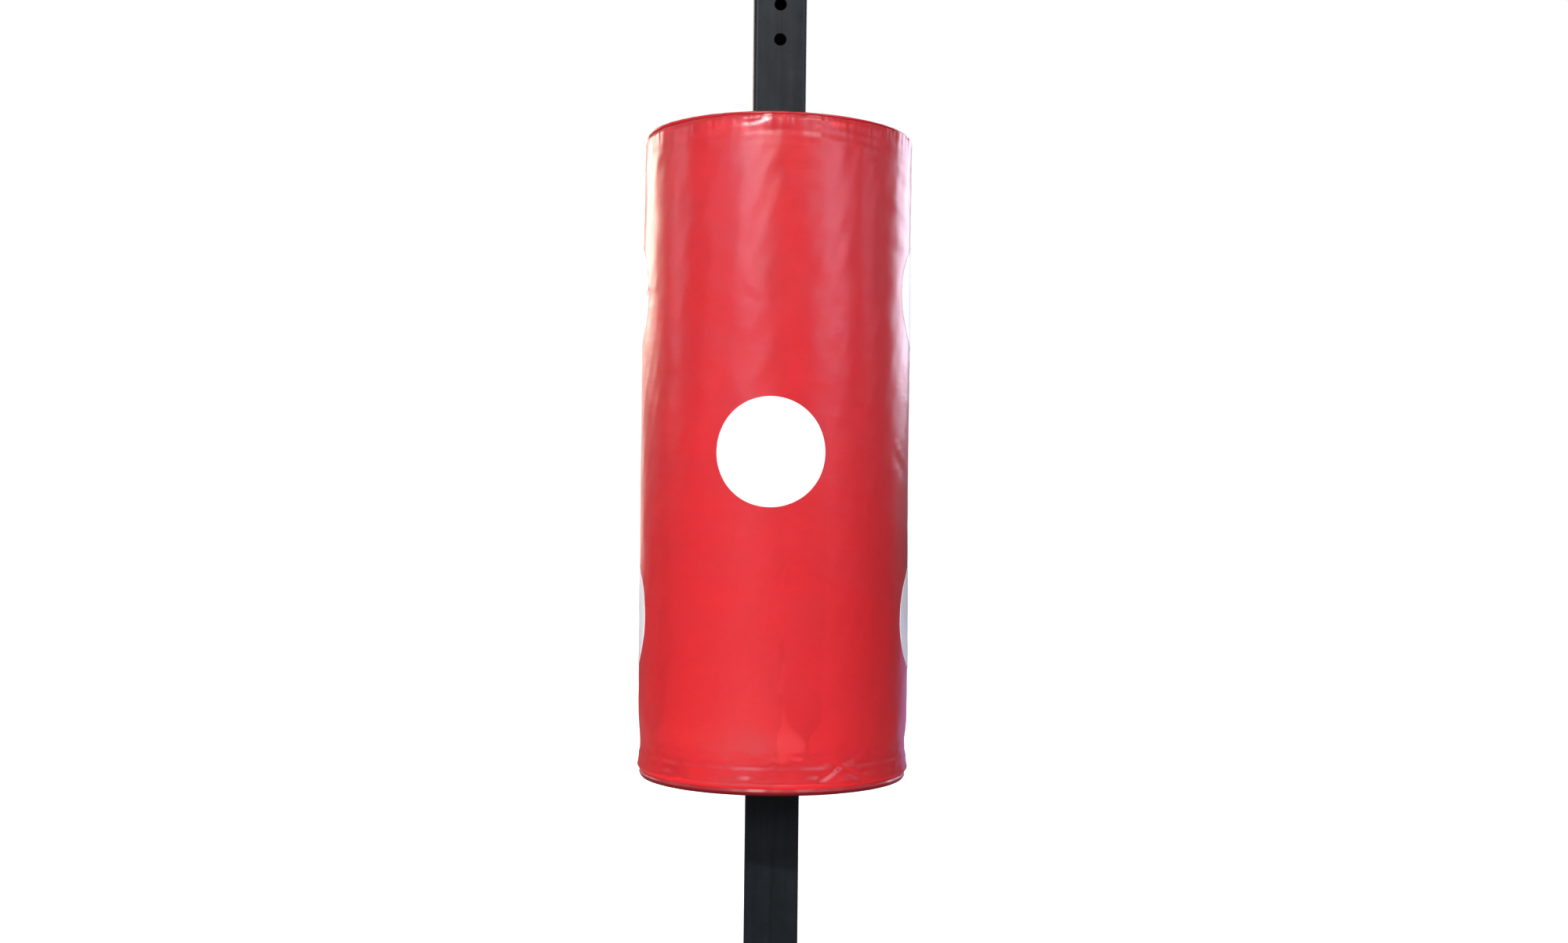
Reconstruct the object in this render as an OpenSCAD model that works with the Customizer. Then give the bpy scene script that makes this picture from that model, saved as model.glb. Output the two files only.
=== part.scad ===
// Padded striking cylinder on a square floor post.
// The frame stands on z = 0 with +Z up. The post's axis is x = y = 0, the pad's front faces +Y
// and its back faces -Y. All sizes are millimetres.

/* [Post] */
// Width of the square post
post_w = 76.2; // [60:0.1:100]
// Wall thickness of the post
post_wall = 3; // [2:0.5:5]
// Outside radius of the post's corners
post_corner = 6; // [5:0.5:10]
// Length of post that stands above the pad
post_above_pad = 232; // [180:1:320]
// Diameter of the fixing holes near the top of the post
post_hole_d = 17.5; // [10:0.5:26]
// Distance between the fixing holes
post_hole_pitch = 50.8; // [40:0.1:60]
// Distance from the post's top to the first fixing hole
post_hole_drop = 39.2; // [30:0.1:60]
// Number of fixing holes
post_hole_count = 2; // [1:1:3]
// Thickness of the end cap's rim
cap_t = 4; // [3:0.5:8]
// Depth of the end cap's plug inside the post
cap_plug = 22; // [10:1:30]
// Wall of the end cap's plug
cap_wall = 2.5; // [1.5:0.5:4]

/* [Base] */
// Width of the square base plate
base_w = 300; // [260:5:450]
// Thickness of the base plate
base_t = 10; // [6:1:16]
// Radius of the base plate's corners
base_corner = 20; // [5:1:30]
// Distance between the anchor holes, both ways
anchor_pitch = 240; // [200:5:250]
// Diameter of the anchor holes
anchor_d = 17.5; // [10:0.5:22]
// Height of the gussets above the plate
gusset_h = 75; // [40:1:80]
// Reach of the gussets from the post
gusset_l = 90; // [40:1:90]
// Thickness of the gussets
gusset_t = 6; // [4:1:10]
// Blunt height of the gussets' two tips
gusset_tip = 12; // [6:1:20]
// Corner cut from each gusset to clear the weld
gusset_clip = 9; // [4:1:12]

/* [Pad] */
// Diameter of the pad over its cover
pad_d = 381; // [310:1:460]
// Height of the pad over its cover
pad_h = 914.4; // [700:0.1:1150]
// Height of the pad's underside above the floor
pad_lift = 360; // [340:1:500]
// Turn of the pad on the post, as it was left
pad_turn = -3.45; // [-180:0.05:180]
// Radius of the pad's bottom edge
bottom_round = 11; // [6:1:20]
// Thickness of the vinyl cover
cover_t = 1.2; // [0.8:0.1:2]
// Radius of the piping in the top edge
piping_r = 2; // [1.5:0.1:3]
// Thickness of the soft outer foam
soft_foam_t = 60; // [50:1:75]
// Wall of the core tube
core_wall = 5; // [3:0.5:8]
// Thickness of the plywood end plates
plate_t = 18; // [12:1:25]
// Diameter of the striking targets
target_d = 150; // [100:1:180]
// Thickness of the striking targets
target_t = 0.6; // [0.4:0.1:1.5]
// Outside diameter of the vent eyelets
eyelet_d = 16; // [10:1:20]
// Bore of the vent eyelets
eyelet_bore = 8; // [4:1:9]
// Height of the eyelets' rims above the top cover
eyelet_rim = 0.8; // [0.5:0.1:1.5]
// Wall of the eyelets' barrels
eyelet_wall = 1; // [0.6:0.1:1.5]
// Number of vent eyelets
eyelet_count = 4; // [2:1:8]
// Gap between the bearing flanges and the cover
cover_hole_gap = 2; // [1:0.5:6]
// Gap between the bearing flanges and the end plates
flange_gap = 0.5; // [0.3:0.1:1]

/* [Bearings and collars] */
// Thinnest wall of a bearing, at the corners of its square bore
bearing_wall = 5.7; // [4:0.1:10]
// Length of a bearing inside the core tube
bearing_l = 60; // [30:1:90]
// Thickness of a bearing's flange
flange_t = 10; // [7:0.5:14]
// Reach of a bearing's flange past the core tube
flange_reach = 12.5; // [8:0.5:20]
// Gap between a collar and the pad's cover
collar_gap = 2; // [1:0.5:4]
// Wall of the square clamp collars beside the post
collar_wall = 19.6; // [16:0.1:26]
// Thickness of the clamp collars
collar_t = 16; // [14:1:20]
// Radius of the collars' corners
collar_corner = 10; // [4:1:12]
// Gap between the two halves of a collar
collar_split = 2; // [1:0.5:4]
// Diameter of the clamp screws
screw_d = 8; // [6:0.5:8]
// Diameter of the clamp screws' heads
screw_head_d = 13; // [10:0.5:13]
// Height of the clamp screws' heads
screw_head_h = 8; // [6:0.5:10]
// Width across the flats of the screws' sockets
screw_socket = 6; // [4:0.5:6]
// How far the screws' heads lie below the collar's face
screw_recess = 0.5; // [0:0.1:1]
// Depth of thread in the back half of a collar
thread_l = 22; // [12:1:30]
// Depth of hole past the end of a screw
drill_l = 2; // [1:0.5:6]

/* [Zip] */
// Distance of the zip from the pad's side
zip_inset = 32; // [28:1:40]
// Angle round the pad where the zip is closed
zip_start = 60; // [0:1:359]
// Sweep of the zip round the pad
zip_sweep = 240; // [90:1:300]
// Width of the zip's tape
zip_tape_w = 20; // [16:1:24]
// Thickness of the zip's tape
zip_tape_t = 0.8; // [0.5:0.1:1.2]
// Width over the two rows of teeth
zip_teeth_w = 6; // [4:0.5:8]
// Thickness of the teeth
zip_teeth_t = 2.4; // [1.8:0.1:3]
// Slit between the two rows of teeth
zip_slit = 1; // [0.8:0.1:1.4]
// Thickness of the slider's plates
slider_t = 1.5; // [1:0.1:2]
// Width of the slider
slider_w = 9; // [7:0.5:10]
// Gap between the slider and each side of its slot
slot_gap = 1; // [0.5:0.1:2]
// Length of the slider
slider_l = 14; // [10:1:20]
// Length of the pull below its pin
pull_l = 28; // [15:1:36]
// Width of the pull
pull_w = 8; // [5:1:12]

/* [Fits] */
// Gap on each side between the post and what slides on it
slide_fit = 0.3; // [0.2:0.1:0.8]
// Running gap round a bearing inside the core tube, and round the pull's pin
running_fit = 0.1; // [0.05:0.01:0.1]
// End play of the pad between its two bearings
end_play = 0.5; // [0.3:0.1:1]
// Gap left for glue or thread between layers
glue = 0.2; // [0.1:0.05:0.4]
// Gap round parts that pass each other without bearing
clear = 0.3; // [0.2:0.1:0.5]

/* [Hidden] */
$fn = 96;
eps = 0.5;

pad_r = pad_d / 2;
pad_z0 = pad_lift;
pad_z1 = pad_lift + pad_h;
post_top = pad_z1 + post_above_pad;

// the square bore that slides on the post, and how far its corners reach
bore_w = post_w + 2 * slide_fit;
bore_corner = post_corner + slide_fit;
bore_reach = (bore_w / 2 - bore_corner) * sqrt(2) + bore_corner;
bearing_r = bore_reach + bearing_wall;
core_ri = bearing_r + running_fit;
core_ro = core_ri + core_wall;
flange_r = core_ro + flange_reach;
flange_in = flange_t - collar_gap;      // how far a flange sinks into the pad
cover_hole_r = flange_r + cover_hole_gap;

inner_r = pad_r - soft_foam_t;          // outside of the firm foam and the end plates
plate_z0 = pad_z0 + cover_t;
plate_z1 = pad_z1 - cover_t;

// width of the collars, and where the clamp screws pass through them
collar_w = bore_w + 2 * collar_wall;
screw_x = (bore_w + collar_wall) / 2;
head_sink = screw_head_h + screw_recess;

// levels of the zip, up from the outside face of the bottom cover
zip_r = pad_r - zip_inset;
slot_w = slider_w + 2 * slot_gap;
tape_z = pad_z0 + cover_t;
teeth_z = tape_z + zip_tape_t / 2 - zip_teeth_t / 2;
slider_top_z = teeth_z + zip_teeth_t + clear;
slider_low_z = teeth_z - clear - slider_t;
groove_w = zip_tape_w + 2 * slot_gap;
groove_top_z = slider_top_z + slider_t + 2 * clear;

// the pull's pin and the two ears that hold it
pin_r = 0.8;
ear_t = 1.2;
ear_r = 2;
eye_w = 2.4;
eye_r = 2.3;
pin_z = slider_low_z - eye_r - clear;
pull_t = 1.6;

// the web that joins the slider's plates through the slit between the teeth
web_w = zip_slit / 2;
web_l = 3;

// ---- shared shapes ----

module rounded_square(w, r) {
    square([w - 2 * r, w], center = true);
    square([w, w - 2 * r], center = true);
    for (x = [-1, 1], y = [-1, 1]) translate([x, y] * (w / 2 - r)) circle(r);
}

module ring(r_in, r_out, h) {
    difference() {
        cylinder(r = r_out, h = h);
        translate([0, 0, -eps]) cylinder(r = r_in, h = h + 2 * eps);
    }
}

// half section of a round pad: its outer corners are round, and its bore is square-edged
module round_section(r_in, r_out, z_low, z_high, low_round, high_round) {
    translate([r_in, z_low + low_round]) square([r_out - r_in, z_high - z_low - low_round - high_round]);
    translate([r_in, z_low]) square([r_out - r_in - low_round, z_high - z_low]);
    translate([r_out - low_round, z_low + low_round]) circle(low_round);
    if (high_round > 0) translate([r_out - high_round, z_high - high_round]) circle(high_round);
}

// turns a pad piece to where the pad was left on its post
module on_pad() {
    rotate([0, 0, pad_turn]) children();
}

// mirrors a piece at the bottom of the pad to the top of the pad
module at_top() {
    translate([0, 0, pad_z0 + pad_z1]) mirror([0, 0, 1]) children();
}

// a band round the pad that follows the zip
module zip_band(r_low, r_high, z_low, z_high) {
    rotate([0, 0, zip_start]) rotate_extrude(angle = zip_sweep)
        translate([r_low, z_low]) square([r_high - r_low, z_high - z_low]);
}

// ---- post and base ----

module post_tube() {
    color("#30363c") difference() {
        translate([0, 0, base_t]) linear_extrude(post_top - base_t) difference() {
            rounded_square(post_w, post_corner);
            rounded_square(post_w - 2 * post_wall, post_corner - post_wall);
        }
        for (i = [0 : post_hole_count - 1])
            translate([0, 0, post_top - post_hole_drop - i * post_hole_pitch])
                rotate([90, 0, 0]) cylinder(d = post_hole_d, h = post_w + 2 * eps, center = true);
    }
}

module base_plate() {
    color("#2d3338") linear_extrude(base_t) difference() {
        rounded_square(base_w, base_corner);
        for (x = [-1, 1], y = [-1, 1]) translate([x, y] * anchor_pitch / 2) circle(d = anchor_d);
    }
}

module gusset(turn) {
    color("#2d3338") rotate([0, 0, turn]) translate([post_w / 2, gusset_t / 2, base_t])
        rotate([90, 0, 0]) linear_extrude(gusset_t) polygon([
            [gusset_clip, 0], [gusset_l, 0], [gusset_l, gusset_tip],
            [gusset_tip, gusset_h], [0, gusset_h], [0, gusset_clip]
        ]);
}

module gusset_right() { gusset(0); }
module gusset_front() { gusset(90); }
module gusset_left() { gusset(180); }
module gusset_back() { gusset(270); }

module post_cap() {
    inner_w = post_w - 2 * post_wall - 2 * slide_fit;
    inner_corner = post_corner - post_wall - slide_fit;
    crown = 1.5;
    color("#1a1c1e") {
        translate([0, 0, post_top]) hull() {
            linear_extrude(cap_t - crown) rounded_square(post_w, post_corner, $fn = 32);
            linear_extrude(cap_t) rounded_square(post_w - 2 * crown, post_corner - crown, $fn = 32);
        }
        translate([0, 0, post_top - cap_plug]) linear_extrude(cap_plug) difference() {
            rounded_square(inner_w, inner_corner);
            square(inner_w - 2 * cap_wall, center = true);
        }
    }
}

// ---- clamp collars ----

// side is 1 for the front half, which takes the screw heads, and -1 for the threaded back half
module collar_half(side) {
    color("#22262a") difference() {
        translate([0, 0, pad_z0 - collar_gap - collar_t]) linear_extrude(collar_t) difference() {
            rounded_square(collar_w, collar_corner);
            rounded_square(bore_w, bore_corner);
            translate([0, side * (collar_split - collar_w) / 2]) square([collar_w + eps, collar_w], center = true);
        }
        for (x = [-1, 1]) collar_screw_line(x) {
            if (side > 0) {
                cylinder(d = screw_d + 2 * clear, h = collar_w);
                translate([0, 0, collar_w / 2 - head_sink]) cylinder(d = screw_head_d + 2 * clear, h = collar_w);
            } else {
                translate([0, 0, -collar_split / 2 - thread_l - drill_l])
                    cylinder(d = screw_d + 2 * glue, h = thread_l + drill_l + collar_split);
            }
        }
    }
}

// the line of one clamp screw: local z runs along +Y from the middle of the collar
module collar_screw_line(x) {
    translate([x * screw_x, 0, pad_z0 - collar_gap - collar_t / 2]) rotate([-90, 0, 0]) children();
}

module collar_screws() {
    shank_z0 = -collar_split / 2 - thread_l;
    head_z0 = collar_w / 2 - head_sink;
    color("#8a8d90") for (x = [-1, 1]) collar_screw_line(x) difference() {
        union() {
            translate([0, 0, shank_z0]) cylinder(d = screw_d, h = head_z0 - shank_z0 + eps);
            translate([0, 0, head_z0]) cylinder(d = screw_head_d, h = screw_head_h);
        }
        translate([0, 0, head_z0 + screw_head_h / 2])
            cylinder(d = screw_socket / cos(30), h = screw_head_h, $fn = 6);
    }
}

module lower_collar_front_half() { collar_half(1); }
module lower_collar_back_half() { collar_half(-1); }
module lower_collar_screws() { collar_screws(); }
module upper_collar_front_half() { translate([0, 0, end_play]) at_top() collar_half(1); }
module upper_collar_back_half() { translate([0, 0, end_play]) at_top() collar_half(-1); }
module upper_collar_screws() { translate([0, 0, end_play]) at_top() collar_screws(); }

// ---- bearings: plastic blocks that sit square on the post and run round inside the core tube ----

module bearing() {
    color("#e8e6df") difference() {
        translate([0, 0, pad_z0 - collar_gap]) {
            cylinder(r = flange_r, h = flange_t);
            cylinder(r = bearing_r, h = flange_t + bearing_l);
        }
        translate([0, 0, pad_z0 - collar_gap - eps]) linear_extrude(flange_t + bearing_l + 2 * eps)
            rounded_square(bore_w, bore_corner);
    }
}

module lower_bearing() { bearing(); }
module upper_bearing() { translate([0, 0, end_play]) at_top() bearing(); }

// ---- the pad's core ----

module core_tube() {
    color("#d9d9d4") translate([0, 0, pad_z0 + flange_in]) ring(core_ri, core_ro, pad_h - 2 * flange_in);
}

module end_plate() {
    color("#c9a877") difference() {
        translate([0, 0, plate_z0]) ring(core_ro + glue, inner_r, plate_t);
        translate([0, 0, pad_z0]) cylinder(r = flange_r + flange_gap, h = flange_in);
    }
}

module bottom_end_plate() { on_pad() end_plate(); }
module top_end_plate() { on_pad() at_top() end_plate(); }

module inner_foam() {
    color("#3b4a5a") translate([0, 0, plate_z0 + plate_t])
        ring(core_ro + glue, inner_r, plate_z1 - plate_z0 - 2 * plate_t);
}

module outer_foam() {
    skin = cover_t + clear;
    color("#e7d9a8") on_pad() difference() {
        rotate_extrude() round_section(
            inner_r + glue, pad_r - skin, pad_z0 + skin, pad_z1 - skin, bottom_round - skin, 4 * piping_r);
        // channel that leaves the zip free
        translate([0, 0, pad_z0]) ring(zip_r - groove_w / 2, zip_r + groove_w / 2, groove_top_z - pad_z0);
    }
}

// ---- the pad's cover ----

module side_cover() {
    color("#d23a40") on_pad() translate([0, 0, pad_z0 + bottom_round])
        ring(pad_r - cover_t, pad_r, pad_h - bottom_round - 2 * piping_r - glue);
}

module top_piping() {
    color("#c42a30") on_pad() rotate_extrude() translate([pad_r - piping_r, pad_z1 - piping_r]) circle(piping_r);
}

module eyelet_places() {
    for (i = [0 : eyelet_count - 1])
        rotate([0, 0, (i + 0.5) * 360 / eyelet_count]) translate([zip_r, 0, pad_z1 - cover_t]) children();
}

module top_cover() {
    color("#d23a40") on_pad() difference() {
        translate([0, 0, pad_z1 - cover_t]) ring(cover_hole_r, pad_r - 2 * piping_r - glue, cover_t);
        eyelet_places() translate([0, 0, -eps]) cylinder(d = eyelet_bore + 2 * eyelet_wall, h = cover_t + 2 * eps);
    }
}

module bottom_cover() {
    color("#d23a40") on_pad() difference() {
        rotate_extrude() difference() {
            round_section(cover_hole_r, pad_r, pad_z0, pad_z0 + 2 * bottom_round, bottom_round, 0);
            round_section(0, pad_r - cover_t, pad_z0 + cover_t, pad_z0 + 3 * bottom_round,
                bottom_round - cover_t, 0);
            translate([0, pad_z0 + bottom_round - glue]) square([pad_d, 2 * bottom_round]);
        }
        zip_band(zip_r - slot_w / 2, zip_r + slot_w / 2, pad_z0 - eps, pad_z0 + cover_t + eps);
    }
}

module vent_eyelets() {
    color("#b9974a") on_pad() eyelet_places() difference() {
        union() {
            cylinder(d = eyelet_bore + 2 * (eyelet_wall - glue), h = cover_t + eyelet_rim);
            translate([0, 0, cover_t]) cylinder(d = eyelet_d, h = eyelet_rim);
        }
        translate([0, 0, -eps]) cylinder(d = eyelet_bore, h = cover_t + eyelet_rim + 2 * eps);
    }
}

// ---- striking targets: thin round patches bent to the pad's side ----

// azimuth is measured from +X, and height is a share of the pad's height
module target(azimuth, height) {
    patch_h = target_d + 2 * eps;
    color("white") on_pad() translate([0, 0, pad_z0 + height * pad_h]) rotate([0, 0, azimuth])
        intersection() {
            translate([0, 0, -patch_h / 2]) ring(pad_r + glue / 2, pad_r + glue / 2 + target_t, patch_h);
            rotate([0, 90, 0]) cylinder(d = target_d, h = pad_d);
        }
}

module target_back() { target(270, 1 / 2); }
module target_front() { target(90, 1 / 2); }
module target_left_upper() { target(180, 3 / 4); }
module target_left_lower() { target(180, 1 / 4); }
module target_right_upper() { target(0, 3 / 4); }
module target_right_lower() { target(0, 1 / 4); }

// ---- zip in the bottom cover ----

module zip_tape() {
    color("#26282b") on_pad() {
        zip_band(zip_r - zip_tape_w / 2, zip_r - zip_teeth_w / 2, tape_z, tape_z + zip_tape_t);
        zip_band(zip_r + zip_teeth_w / 2, zip_r + zip_tape_w / 2, tape_z, tape_z + zip_tape_t);
    }
}

module zip_teeth() {
    color("#3a3d40") on_pad() {
        zip_band(zip_r - zip_teeth_w / 2, zip_r - zip_slit / 2, teeth_z, teeth_z + zip_teeth_t);
        zip_band(zip_r + zip_slit / 2, zip_r + zip_teeth_w / 2, teeth_z, teeth_z + zip_teeth_t);
    }
}

// a piece of the slider: a short band round the pad, centred on the slider
module slider_band(w, l, z_low, z_high) {
    sweep = l / zip_r * 180 / PI;
    rotate([0, 0, -sweep / 2]) rotate_extrude(angle = sweep)
        translate([zip_r - w / 2, z_low]) square([w, z_high - z_low]);
}

// puts a piece at the closed end of the zip, with local +X pointing out from the pad's axis
module at_slider() {
    on_pad() rotate([0, 0, zip_start + slider_l / zip_r * 90 / PI]) children();
}

// a cylinder along the pull's pin, centred between the ears
module pin_cylinder(r, w) {
    translate([zip_r, 0, pin_z]) rotate([0, 90, 0]) cylinder(r = r, h = w, center = true);
}

module zip_slider() {
    ear_gap = eye_w + 2 * clear;
    color("#8a8d90") at_slider() {
        slider_band(slider_w, slider_l, slider_low_z, slider_low_z + slider_t);
        slider_band(slider_w, slider_l, slider_top_z, slider_top_z + slider_t);
        slider_band(web_w, web_l, slider_low_z, slider_top_z + slider_t);
        for (side = [-1, 1]) translate([side * (ear_gap + ear_t) / 2, 0, 0]) {
            pin_cylinder(ear_r, ear_t);
            translate([zip_r - ear_t / 2, -ear_r, pin_z]) cube([ear_t, 2 * ear_r, slider_low_z - pin_z + eps]);
        }
        pin_cylinder(pin_r, ear_gap + ear_t);
    }
}

module zip_pull() {
    neck_l = 2 * eye_r;
    color("#8a8d90") at_slider() difference() {
        union() {
            pin_cylinder(eye_r, eye_w);
            translate([zip_r - eye_w / 2, -pull_t / 2, pin_z - neck_l - eps]) cube([eye_w, pull_t, neck_l + eps]);
            translate([zip_r, 0, pin_z - neck_l]) rotate([90, 0, 0])
                linear_extrude(pull_t, center = true) difference() {
                    union() {
                        translate([-pull_w / 2, -pull_l + neck_l + pull_w / 2])
                            square([pull_w, pull_l - neck_l - pull_w / 2]);
                        translate([0, -pull_l + neck_l + pull_w / 2]) circle(pull_w / 2);
                    }
                    translate([0, -pull_l + neck_l + pull_w / 2]) circle(pull_w / 4);
                }
        }
        pin_cylinder(pin_r + running_fit, eye_w + 2 * eps);
    }
}

post_tube();
base_plate();
gusset_right();
gusset_front();
gusset_left();
gusset_back();
post_cap();
lower_collar_front_half();
lower_collar_back_half();
lower_collar_screws();
upper_collar_front_half();
upper_collar_back_half();
upper_collar_screws();
lower_bearing();
upper_bearing();
core_tube();
bottom_end_plate();
top_end_plate();
inner_foam();
outer_foam();
side_cover();
top_cover();
bottom_cover();
top_piping();
target_back();
target_front();
target_left_upper();
target_left_lower();
target_right_upper();
target_right_lower();
vent_eyelets();
zip_tape();
zip_teeth();
zip_slider();
zip_pull();
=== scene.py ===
# %% [markdown]
# # A padded striking cylinder on a square post
#
# A red vinyl cylinder, padded with foam and marked with white round targets, turns on a square steel
# post. Its sizes, joints and hidden parts come from an engineering model, which loads here as a
# fixed frame. This file adds what that model leaves out: the stretch and creases of the cover, its
# seams and stitches, the zip's teeth, the weld beads, and the finish of every surface.
# Everything is in metres with +Z up. The pad's front faces +Y and its back faces -Y.

# %% Load the frame
import math
import bmesh
import bpy
import numpy as np
from mathutils import Euler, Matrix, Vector


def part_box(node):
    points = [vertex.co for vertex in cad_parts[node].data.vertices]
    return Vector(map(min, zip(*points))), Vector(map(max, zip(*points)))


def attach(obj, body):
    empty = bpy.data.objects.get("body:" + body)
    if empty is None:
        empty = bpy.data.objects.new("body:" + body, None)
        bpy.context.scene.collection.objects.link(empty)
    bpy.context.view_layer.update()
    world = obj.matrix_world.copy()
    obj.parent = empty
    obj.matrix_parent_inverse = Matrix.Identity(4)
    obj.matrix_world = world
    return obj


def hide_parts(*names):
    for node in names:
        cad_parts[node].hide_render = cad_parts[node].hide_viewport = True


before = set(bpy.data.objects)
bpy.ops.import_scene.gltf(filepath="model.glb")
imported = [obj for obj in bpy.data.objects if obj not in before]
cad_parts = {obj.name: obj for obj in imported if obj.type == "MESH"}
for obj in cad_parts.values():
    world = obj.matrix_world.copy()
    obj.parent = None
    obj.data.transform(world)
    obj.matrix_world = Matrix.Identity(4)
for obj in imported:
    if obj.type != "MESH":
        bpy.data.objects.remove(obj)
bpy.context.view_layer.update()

# %% [markdown]
# ## Sizes read from the frame
#
# Every piece made here has to meet the engineering parts, so its size and place are read from them
# and not typed in again. Most of the pad is round, so the useful sizes are distances from the
# post's axis and heights above the pad's underside. The pad was left slightly turned on its post,
# and the middle of its back target tells by how much.

# %% Sizes of the pad
MM = 0.001
TURN = 2 * math.pi


def reach(node):
    """Nearest and furthest distance of a node's points from the post's axis."""
    away = [vertex.co.xy.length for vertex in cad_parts[node].data.vertices]
    return min(away), max(away)


def azimuths(node):
    """Angle of each of a node's points round the post's axis, from +X, in radians."""
    return [math.atan2(vertex.co.y, vertex.co.x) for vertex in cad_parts[node].data.vertices]


pad_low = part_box("bottom_cover")[0].z
pad_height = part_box("top_cover")[1].z - pad_low
pad_radius = reach("side_cover")[1]
cover_thick = pad_radius - reach("side_cover")[0]
hole_radius = reach("top_cover")[0]
foam_inside = reach("outer_foam")[0]
pad_turn = float(np.mean(azimuths("target_back"))) + TURN / 4
print(f"pad {2000 * pad_radius:.1f} x {1000 * pad_height:.1f} mm,",
      f"turned {math.degrees(pad_turn):.2f} degrees")

# %% [markdown]
# ## Camera
#
# The camera stands behind the pad, a little left of the post, at about the height of a bench. It
# looks slightly up, and it is rolled by half a degree. The order of the turns matters: roll about
# its own line of sight first, then the upward tilt, then the heading.

# %% Camera
CAMERA_PLACE = (-0.0575, -2.3311, 0.7274)
CAMERA_TILT, CAMERA_ROLL, CAMERA_HEADING = 1.698, 0.603, -1.733
LENS_MM, SENSOR_MM = 36.97, 36.0

lens = bpy.data.cameras.new("camera")
lens.lens, lens.sensor_width = LENS_MM, SENSOR_MM
lens.clip_start, lens.clip_end = 0.05, 200.0
camera = bpy.data.objects.new("camera", lens)
heading = Euler((0, 0, math.radians(CAMERA_HEADING))).to_matrix()
tilt = Euler((math.radians(90 + CAMERA_TILT), 0, 0)).to_matrix()
roll = Euler((0, 0, math.radians(CAMERA_ROLL))).to_matrix()
camera.matrix_world = (heading @ tilt @ roll).to_4x4()
camera.location = CAMERA_PLACE
bpy.context.scene.collection.objects.link(camera)
bpy.context.scene.camera = camera
print("camera at", CAMERA_PLACE, "with a", LENS_MM, "mm lens")

# %% [markdown]
# ## Colours and nodes
#
# Colours are written as sRGB hex codes, as a paint chart gives them, while a shader works in
# linear light, so one function turns the first into the second. A second one adds a node to a
# material: it sets the node's options, fills its inputs with numbers or with links from other
# nodes, and gives the node back. Two small rules turn a size in millimetres into the scale number
# of a texture: a noise cell is one unit wide at scale 1, and a wave repeats every pi / 10 units.

# %% Colour and node helpers
def linear(code):
    """The linear colour of an sRGB hex code, with full alpha."""
    parts = [int(code[i:i + 2], 16) / 255 for i in (0, 2, 4)]
    return [c / 12.92 if c <= 0.04045 else ((c + 0.055) / 1.055) ** 2.4 for c in parts] + [1.0]


def add(tree, kind, inputs=None, **options):
    """Adds a shader node. inputs gives a value, or another node's output, for each named input."""
    node = tree.nodes.new("ShaderNode" + kind)
    for option, value in options.items():
        setattr(node, option, value)
    for name, value in (inputs or {}).items():
        if isinstance(value, bpy.types.NodeSocket):
            tree.links.new(value, node.inputs[name])
        else:
            node.inputs[name].default_value = value
    return node


def cells(size_mm):
    """Texture scale for noise or cells of that size."""
    return 1000 / size_mm


def waves(pitch_mm):
    """Scale of a wave texture that repeats at that pitch."""
    return math.pi / 10 * 1000 / pitch_mm


def finish(name, colour, roughness, metallic=0.0, ior=1.5):
    """A new material: returns it, its node tree, its shader and its object coordinates."""
    material = bpy.data.materials.new(name)
    material.use_nodes = True
    tree = material.node_tree
    shader = tree.nodes["Principled BSDF"]
    shader.inputs["Base Color"].default_value = linear(colour)
    shader.inputs["Roughness"].default_value = roughness
    shader.inputs["Metallic"].default_value = metallic
    shader.inputs["IOR"].default_value = ior
    return material, tree, shader, add(tree, "TexCoord").outputs["Object"]


print("mid grey in linear light:", round(linear("808080")[0], 3))

# %% [markdown]
# ## Studio: white surround, floor and lights
#
# The object stands in a plain white studio. The surround is white to the camera and softer as a
# light, so that the vinyl keeps its depth and the panels below can draw its highlights. The
# colours are shown without a film curve, because a film curve greys the white and dulls the red.

# %% White surround
HORIZON_LIGHT, ZENITH_LIGHT, RIGHT_SHADE = 0.15, 0.55, 0.30

scene = bpy.context.scene
scene.view_settings.view_transform = "Standard"
world = bpy.data.worlds.new("studio")
scene.world = world
world.use_nodes = True
surround = world.node_tree
surround.nodes.clear()
direction = add(surround, "TexCoord").outputs["Generated"]
way = add(surround, "SeparateXYZ", {0: direction})
upward = add(surround, "MapRange", {
    0: way.outputs[2], 1: 0.0, 2: 1.0, 3: HORIZON_LIGHT, 4: ZENITH_LIGHT})
sideways = add(surround, "MapRange", {
    0: way.outputs[0], 1: -1.0, 2: 1.0, 3: 1 + RIGHT_SHADE, 4: 1 - RIGHT_SHADE})
strength = add(surround, "Math", {0: upward.outputs[0], 1: sideways.outputs[0]}, operation="MULTIPLY")
light = add(surround, "Background", {"Color": linear("F2F3FF"), "Strength": strength.outputs[0]})
seen = add(surround, "Background", {"Color": linear("FFFFFF"), "Strength": 1.0})
which = add(surround, "MixShader", {
    0: add(surround, "LightPath").outputs["Is Camera Ray"],
    1: light.outputs[0], 2: seen.outputs[0]})
add(surround, "OutputWorld", {"Surface": which.outputs[0]})
print("surround light from", HORIZON_LIGHT, "to", ZENITH_LIGHT)

# %% [markdown]
# The floor is a pale painted sheet, large enough to reach the horizon. It isn't part of the object.
# Its faint unevenness keeps the contact shadows from looking printed.
# To the camera the sheet is white and glows, so that it runs into the surround without a line. To
# the light that bounces off it, it is a mid grey, so that it doesn't wash out the post from below.

# %% Floor
FLOOR_HALF, FLOOR_GLOW = 60.0, 0.75

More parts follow.
